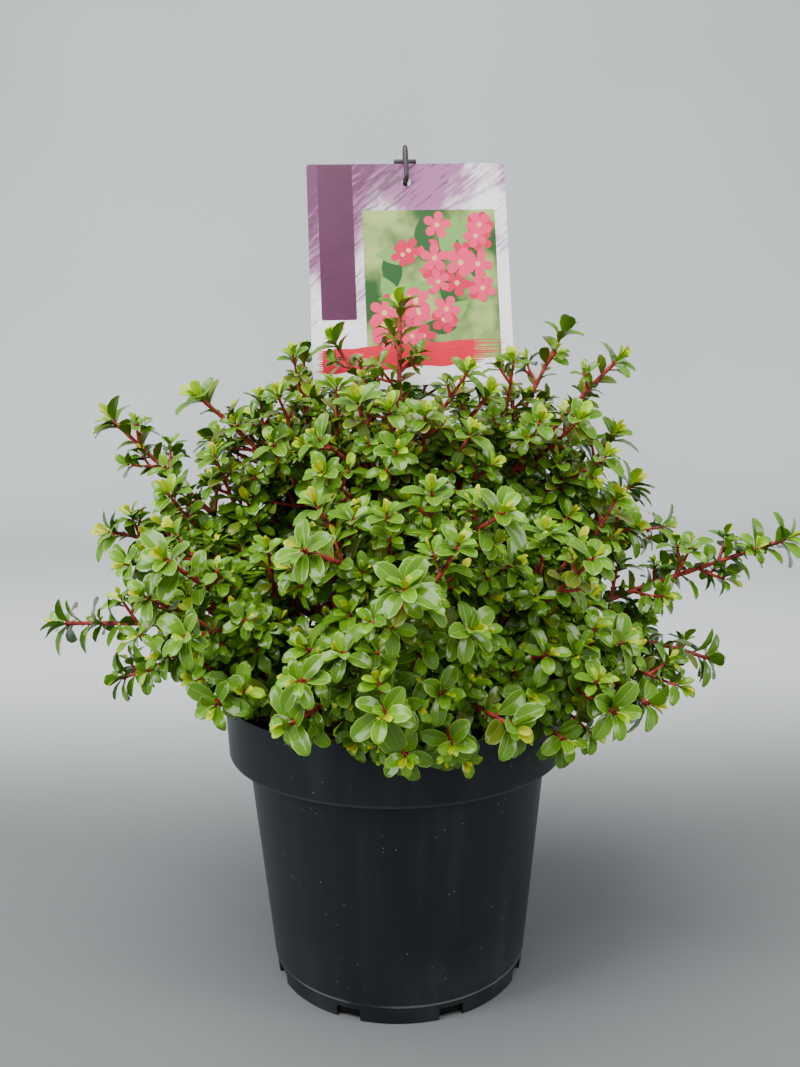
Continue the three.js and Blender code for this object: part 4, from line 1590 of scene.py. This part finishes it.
def size_class(place):
    """Long leaves near the crown's outline have the finest blade, hidden ones the plainest."""
    foot, _, length = place
    depth = depth_in_crown(foot)
    if length < FULL_LENGTH or depth < FULL_DEPTH:
        return "small"
    return "great" if length >= GREAT_LENGTH and depth > GREAT_DEPTH else "full"


def dress_with_leaves(size, kind, places, seed, skin, rib):
    shape = blade(size, kind)
    for first in range(0, len(places), LEAVES_PER_PIECE):
        some = places[first : first + LEAVES_PER_PIECE]
        name = f"{size}_leaves_{kind}_{first // LEAVES_PER_PIECE + 1}"
        ride_on_root(set_out(name, some, shape, 0.08, seed, skin, rib, leaf_foot))
    bpy.data.objects.remove(shape)


leaf_foot = leaf_finish("leaf_foot", (0.340, 0.036, 0.022), 0.4)
for number, kind in enumerate(LEAF_KINDS):
    colour, rib_and_highlight_colour, roughness = COLOUR_RIB_HIGHLIGHT_ROUGHNESS[kind]
    skin = leaf_finish("leaf_" + kind, colour, roughness)
    # The rib finish also paints the highlight on the margins of great leaves.
    rib = leaf_finish("leaf_rib_" + kind, rib_and_highlight_colour, roughness + 0.1)
    for size in OUTLINES:
        places = [place for place in leaf_places[kind] if size_class(place) == size]
        dress_with_leaves(size, kind, places, number + FIRST_SEEDS[size], skin, rib)

# %% [markdown]
# ## The card and its stem
# A printed card hangs on the hooked end of a thin plastic stem pushed into the compost. It
# is cut out of a flat sheet, and a flat curve suits that: its second outline makes the hole
# and its extrusion the small thickness. The streaks of its mauve ground are painted by one
# noise, stretched along the stroke, on the card's own UV map.

# %% Cut the card
HOLE_RADIUS, HOLE_DOWN = 3.2, 12.5
PRINT_LAYER = 0.03
PRINT_DEPTH = 5 * PRINT_LAYER


def arc(centre, radius, first, last, steps):
    turns = [math.radians(blend(first, last, i / steps)) for i in range(steps + 1)]
    return [(centre[0] + radius * math.cos(t), centre[1] + radius * math.sin(t)) for t in turns]


def rounded_box(left, low, right, high, corner):
    inset = [
        ((right - corner, low + corner), -90),
        ((right - corner, high - corner), 0),
        ((left + corner, high - corner), 90),
        ((left + corner, low + corner), 180),
    ]
    return [p for centre, first in inset for p in arc(centre, corner, first, first + 90, 6)]


def flat_piece(name, outlines, back, thickness, finish):
    """A flat solid in the card's own frame, from closed outlines; later ones are holes."""
    curve = bpy.data.curves.new(name, "CURVE")
    curve.dimensions = "2D"
    curve.fill_mode = "BOTH"
    curve.extrude = thickness / 2 * MM
    for outline in outlines:
        spline = curve.splines.new("POLY")
        spline.points.add(len(outline) - 1)
        for point, (x, y) in zip(spline.points, outline):
            point.co = (x * MM, y * MM, 0, 1)
        spline.use_cyclic_u = True
    mesh = baked(new_object(name, curve))
    mesh.name = name
    mesh.materials.clear()
    mesh.materials.append(finish.material)
    own = Matrix.Translation(Vector((0, 0, (back + thickness / 2) * MM)))
    shell = bmesh.new()
    shell.from_mesh(mesh)
    bmesh.ops.remove_doubles(shell, verts=shell.verts, dist=1e-6)
    bmesh.ops.transform(shell, matrix=own, verts=shell.verts)
    bmesh.ops.recalc_face_normals(shell, faces=shell.faces)
    uv = shell.loops.layers.uv.new("print")
    for face in shell.faces:
        for loop in face.loops:
            x, y, _ = loop.vert.co / MM
            loop[uv].uv = (x / CARD_WIDTH + 0.5, 1 + y / CARD_HEIGHT)
    place = Matrix.Scale(MM, 4) @ card_frame @ Matrix.Scale(1 / MM, 4)
    bmesh.ops.transform(shell, matrix=place, verts=shell.verts)
    shell.to_mesh(mesh)
    shell.free()
    return new_object(name, mesh)


def print_finish(name, turn, dark, light, low, high, streaky=0.45, slope=0.0, corner=None):
    """Printed plastic with brush streaks, lighter down its slope, darker in its corner."""
    ink = Finish(name, Roughness=0.38, Specular_IOR_Level=0.3)
    where = ink.node("ShaderNodeUVMap", {}, uv_map="print")
    across, along, _ = ink.axes(where)
    streaks = ink.noise(ink.stretched(where, (10, 1, 1), (0, 0, turn)), 52, 5, 0.7)
    soft = ink.noise(where, 4.0, 3)
    level = streaks * streaky + soft * (1 - streaky) + (0.55 - along + 0.45 * across) * slope
    print_colour = level.ramp(low, high).mix(dark, light)
    if corner:
        strokes = (streaks + (along - across) * 0.34).ramp(0.62, 0.74)
        print_colour = (strokes * 0.85).mix(print_colour, corner)
    ink.use(Base_Color=print_colour)
    return ink


MAUVE, PALE, PLUM = (0.330, 0.120, 0.270), (0.860, 0.840, 0.870), (0.090, 0.018, 0.060)
ground_ink = print_finish("ground_ink", 0.6, MAUVE, PALE, 0.44, 0.62, slope=0.34, corner=PLUM)
card_body = flat_piece(
    "card_body",
    [
        rounded_box(-CARD_WIDTH / 2, -CARD_HEIGHT, CARD_WIDTH / 2, 0, 2.0),
        arc((0, -HOLE_DOWN), HOLE_RADIUS, 0, 345, 23),
    ],
    -CARD_THICKNESS / 2,
    CARD_THICKNESS - PRINT_DEPTH,
    ground_ink,
)
ride_on_root(card_body, ["card"])

# %% [markdown]
# The print is a plain design of flat shapes in thin layers: a plum band, a green panel and a
# coral brush stroke. Thin solids keep their sharp edges at any distance, which a pattern in
# the ground's own material would lose. The stroke's long sides waver by a noise, and each of
# its ends is a row of bristle marks of uneven length.

# %% Lay on the flat print
PLUM_BAND = (-59, -106, -36, -0.6)
PANEL = (-30.0, -133.0, 58.0, -32.0)
STROKE = (-61, 42, -142, -126)
STROKE_SLOPE, STROKE_STEPS, BRISTLES = 6, 40, 13
FRONT = CARD_THICKNESS / 2 - PRINT_DEPTH


def brush_stroke(left, right, low, high, seed):
    """The outline of a broad stroke with wavering sides and ragged ends."""

    def waver(t, side):
        broad, fine = Vector((t * 7, seed, side)), Vector((t * 27, seed, side))
        return 1.1 * noise.noise(broad) + 0.6 * noise.noise(fine)

    def ragged_end(x, away, reach, lift):
        end = []
        for i in range(BRISTLES):
            y = blend(low, high, (i + 0.5) / BRISTLES) + lift
            width = (high - low) / BRISTLES * blend(0.2, 0.62, chance(i, seed, 17))
            root = x - away * 2
            out = x + away * reach * chance(i, seed, 7 + away)
            tip = width * 0.3
            end += [(root, y - width), (out, y - tip), (out, y + tip), (root, y + width)]
        return end

    run = [i / STROKE_STEPS for i in range(1, STROKE_STEPS)]
    lower = [(blend(left, right, t), low + STROKE_SLOPE * t + waver(t, 1)) for t in run]
    upper = [(blend(left, right, t), high + STROKE_SLOPE * t + waver(t, 5)) for t in reversed(run)]
    start = ragged_end(left, -1, 3, 0)[::-1]
    return lower + ragged_end(right, 1, 20, STROKE_SLOPE) + upper + start


BAND_SHADE, BAND_LIGHT = (0.070, 0.014, 0.046), (0.095, 0.022, 0.064)
LEAF_SHADE, LEAF_LIGHT = (0.020, 0.085, 0.014), (0.330, 0.440, 0.130)
CORAL_SHADE, CORAL_LIGHT = (0.600, 0.003, 0.026), (0.700, 0.008, 0.046)
plum_ink = print_finish("plum_ink", 0.1, BAND_SHADE, BAND_LIGHT, 0.3, 0.7)
panel_ink = print_finish("panel_ink", 0.9, LEAF_SHADE, LEAF_LIGHT, 0.38, 0.62, streaky=0.06)
coral_ink = print_finish("coral_ink", 0.15, CORAL_SHADE, CORAL_LIGHT, 0.35, 0.65)
layers = [
    ("print_band", rounded_box(*PLUM_BAND, 1.2), 0, plum_ink),
    ("print_panel", rounded_box(*PANEL, 1.0), 0, panel_ink),
    ("print_stroke", brush_stroke(*STROKE, 5), 1, coral_ink),
]
for name, outline, level, ink in layers:
    back = FRONT + level * PRINT_LAYER
    ride_on_root(flat_piece(name, [outline], back, PRINT_LAYER, ink))

# %% [markdown]
# A printed flower is five rounded petals round a pale eye. Its petals meet, so it needn't be
# five pieces: it is one thin solid, cut from a single wavy outline, with the eye raised on it.
# A leaf and a bud share an outline, long or short.

# %% Shape a flower, a leaf and a bud
FLOWER_RADIUS, EYE_RADIUS = 8.4, 1.5


def flat_shape(name, outline, thickness, eye=None):
    """A thin closed solid in the XY plane, with an optional raised disc as second finish."""
    parts = [(outline, 0.0, False)] + ([(eye, 0.35, True)] if eye else [])
    places, faces, second = [], [], []
    for ring, lift, is_second in parts:
        shift, count = len(places), len(ring)
        places += [(x, y, thickness * lift) for x, y in ring]
        places += [(x, y, thickness * (1 + lift)) for x, y in ring]
        places += [(0, 0, thickness * lift), (0, 0, thickness * (1 + lift))]
        for i in range(count):
            j = (i + 1) % count
            faces.append((shift + i, shift + j, shift + count + j, shift + count + i))
            faces.append((shift + 2 * count, shift + j, shift + i))
            faces.append((shift + 2 * count + 1, shift + count + i, shift + count + j))
            second += [is_second] * 3
    mesh = mesh_from(name, places, faces, ground_ink, smooth=False)
    write_attribute(mesh, "second", "BOOLEAN", "FACE", second)
    return new_object(name, mesh)


def flower_outline(radius, steps=50):
    ring = []
    for i in range(steps):
        turn = 2 * math.pi * i / steps
        petal = abs(math.cos(2.5 * turn)) ** 0.55
        reach = radius * (0.34 + 0.66 * petal)
        ring.append((reach * math.cos(turn), reach * math.sin(turn)))
    return ring


def leaf_outline(length, width):
    side = [(width / 2 * math.sin(math.pi * t**0.9) ** 0.9, t) for t in (0.1, 0.3, 0.5, 0.7, 0.9)]
    ring = [(0, -0.5)] + [(x, t - 0.5) for x, t in side] + [(0, 0.5)]
    return [(x, y * length) for x, y in ring + [(-x, t - 0.5) for x, t in reversed(side)]]


def plain_ink(name, colour):
    return Finish(name, Base_Color=colour, Roughness=0.38, Specular_IOR_Level=0.3)


eye_ink = plain_ink("eye_ink", (0.75, 0.42, 0.20))
eye = arc((0, 0), EYE_RADIUS, 0, 345, 23)
shapes = {
    "flower": flat_shape("flower", flower_outline(FLOWER_RADIUS), PRINT_LAYER, eye),
    "leaf": flat_shape("printed_leaf", leaf_outline(26, 12), PRINT_LAYER),
    "bud": flat_shape("printed_bud", leaf_outline(7, 5), PRINT_LAYER),
}
print("faces:", {kind: len(shape.data.polygons) for kind, shape in shapes.items()})

# %% [markdown]
# The blossoms repeat one flower, so they are set out by the same tree as the leaves, each
# copy turned in the card's plane. Each spray wanders along a bow across the panel. The
# leaves lie lowest, then the deep flowers, and the pink ones and the buds lie on top.

# %% Strew blossoms and printed leaves
SPRAYS = [
    ("print_leaves_dark", "leaf", 13, 60, (0.8, 1.2), 1, (0.020, 0.090, 0.018)),
    ("print_leaves_pale", "leaf", 9, 66, (0.7, 1.1), 2, (0.170, 0.360, 0.080)),
    ("print_flowers_deep", "flower", 17, 46, (0.9, 1.15), 3, (0.600, 0.006, 0.060)),
    ("print_flowers_pink", "flower", 17, 40, (0.95, 1.25), 4, (0.780, 0.036, 0.130)),
    ("print_buds", "bud", 16, 62, (0.7, 1.1), 4, (0.680, 0.020, 0.100)),
]
EDGE_CLEAR = {"leaf": 16.5, "flower": 10.5, "bud": 10.5}
STROKE_CLEAR = 5


def on_print(places, level):
    """Places on the card's face from (x, y, turn, size), all laid in its plane."""
    rows = []
    height = FRONT + level * PRINT_LAYER
    for x, y, turn, size in places:
        place = card_frame @ Vector((x, y, height))
        spin = card_frame.to_3x3().normalized() @ Matrix.Rotation(turn, 3, "Z")
        rows.append((place, spin.to_euler(), size))
    return rows


def along_spray(count, seed, wander, sizes):
    """Places that wander along a bow from the panel's lower left to its upper right."""
    left, low, right, high = PANEL
    rows = []
    for i in range(count):
        t = (i + 0.5) / count
        x = blend(left + 14, right - 13, t) + wander * (chance(i, seed, 1) - 0.5)
        y = blend(low + 22, high - 16, t**1.5) + wander * (chance(i, seed, 2) - 0.5)
        rows.append((x, y, 6.3 * chance(i, seed, 3), blend(*sizes, chance(i, seed, 4))))
    return rows


def within_panel(rows, edge):
    """The same places, with each that is nearer to the panel's edge than that moved in."""
    left, low, right, high = PANEL
    kept = []
    for x, y, turn, size in rows:
        x = min(max(x, left + edge), right - edge)
        y = min(max(y, low + STROKE_CLEAR + edge), high - edge)
        kept.append((x, y, turn, size))
    return kept


for number, (name, motif, count, wander, sizes, level, colour) in enumerate(SPRAYS):
    rows = within_panel(along_spray(count, 31 + number, wander, sizes), EDGE_CLEAR[motif])
    ink = plain_ink(name + "_ink", colour)
    places = on_print(rows, level)
    ride_on_root(set_out(name, places, shapes[motif], 0.02, 40 + number, ink, eye_ink))
for shape in shapes.values():
    bpy.data.objects.remove(shape)

# %% [markdown]
# The stem is a smooth rod that runs up behind the card, over its top edge and into the
# hole. It is swept like the twigs, along a route smoothed through the solid's own points:
# a curve with handles would need one at each of them by hand, and a formula finds them from
# the neighbours. A cross bar with softened edges sits on it behind the card's edge.

# %% Sweep the stem
PEG_DOWN = HOLE_DOWN - HOLE_RADIUS + STICK_RADIUS + GAP
BAR_SIZE = Vector((15, 2.8, 2.8))
BAR_CORNER = 0.6


def smooth_route(points, per_span):
    """Points on a smooth curve through a route, the same number in each of its spans."""
    padded = [points[0] * 2 - points[1], *points, points[-1] * 2 - points[-2]]
    route = []
    for a, b, c, d in zip(padded, padded[1:], padded[2:], padded[3:]):
        slack = (c - b).length
        into = (c - a) * min(0.5, slack / (c - a).length)
        out = (d - b) * min(0.5, slack / (d - b).length)
        for i in range(per_span):
            t = i / per_span
            leave, arrive = 2 * t**3 - 3 * t**2 + 1, -2 * t**3 + 3 * t**2
            pull, brake = t**3 - 2 * t**2 + t, t**3 - t**2
            route.append(b * leave + into * pull + c * arrive + out * brake)
    return route + [points[-1]]


def stem_plastic():
    dark = Finish("stem_plastic", Specular_IOR_Level=0.45)
    where = dark.place()
    scuffs = dark.noise(dark.stretched(where, (1, 1, 5)), 240, 3)
    dark.use(
        Base_Color=scuffs.ramp(0.4, 0.75).mix((0.018, 0.012, 0.015), (0.065, 0.048, 0.058)),
        Roughness=0.38 + scuffs * 0.2,
    )
    dark.relief(scuffs, 0.08)
    return dark


def on_card(up, out):
    return card_frame @ Vector((0, up, out))


def make_stem():
    points = [
        stick_foot,
        stick_foot.lerp(bar_place, 0.5),
        bar_place,
        stick_top,
        on_card(11.6, 0),
        on_card(7, HOOK_BEHIND + 1),
        on_card(-PEG_DOWN + 2.5, HOOK_BEHIND + 1),
        on_card(-PEG_DOWN, HOOK_BEHIND - 1),
        on_card(-PEG_DOWN, -1.2),
    ]
    route = smooth_route(points, 8)
    dark = stem_plastic()
    rod = sweep("card_stem_rod", [(route, [STICK_RADIUS] * len(route))], 16, dark)
    ride_on_root(rod, ["card_stem"])
    bar = bmesh.new()
    bmesh.ops.create_cube(bar, size=1, matrix=Matrix.Diagonal(BAR_SIZE * MM).to_4x4())
    soften_edges(bar, BAR_CORNER, 3)
    turn = card_frame.to_3x3().normalized().to_4x4()
    bmesh.ops.transform(bar, matrix=Matrix.Translation(bar_place * MM) @ turn, verts=bar.verts)
    mesh = bpy.data.meshes.new("card_stem_bar")
    bar.to_mesh(mesh)
    bar.free()
    mesh.shade_smooth()
    mesh.materials.append(dark.material)
    ride_on_root(new_object("card_stem_bar", mesh))


make_stem()

# %% [markdown]
# ## Last look at the sizes
# The dressed shrub should keep to the solids' box, give or take a few leaf tips, so both
# boxes are set side by side and the dressed one is printed.

# %% Set both boxes side by side and print the dressed one
sizes = {
    "cad": [list(corner) for corner in cad_box],
    "visual": [list(corner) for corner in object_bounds()],
}
print("visual box:", [[round(v, 3) for v in corner] for corner in sizes["visual"]])
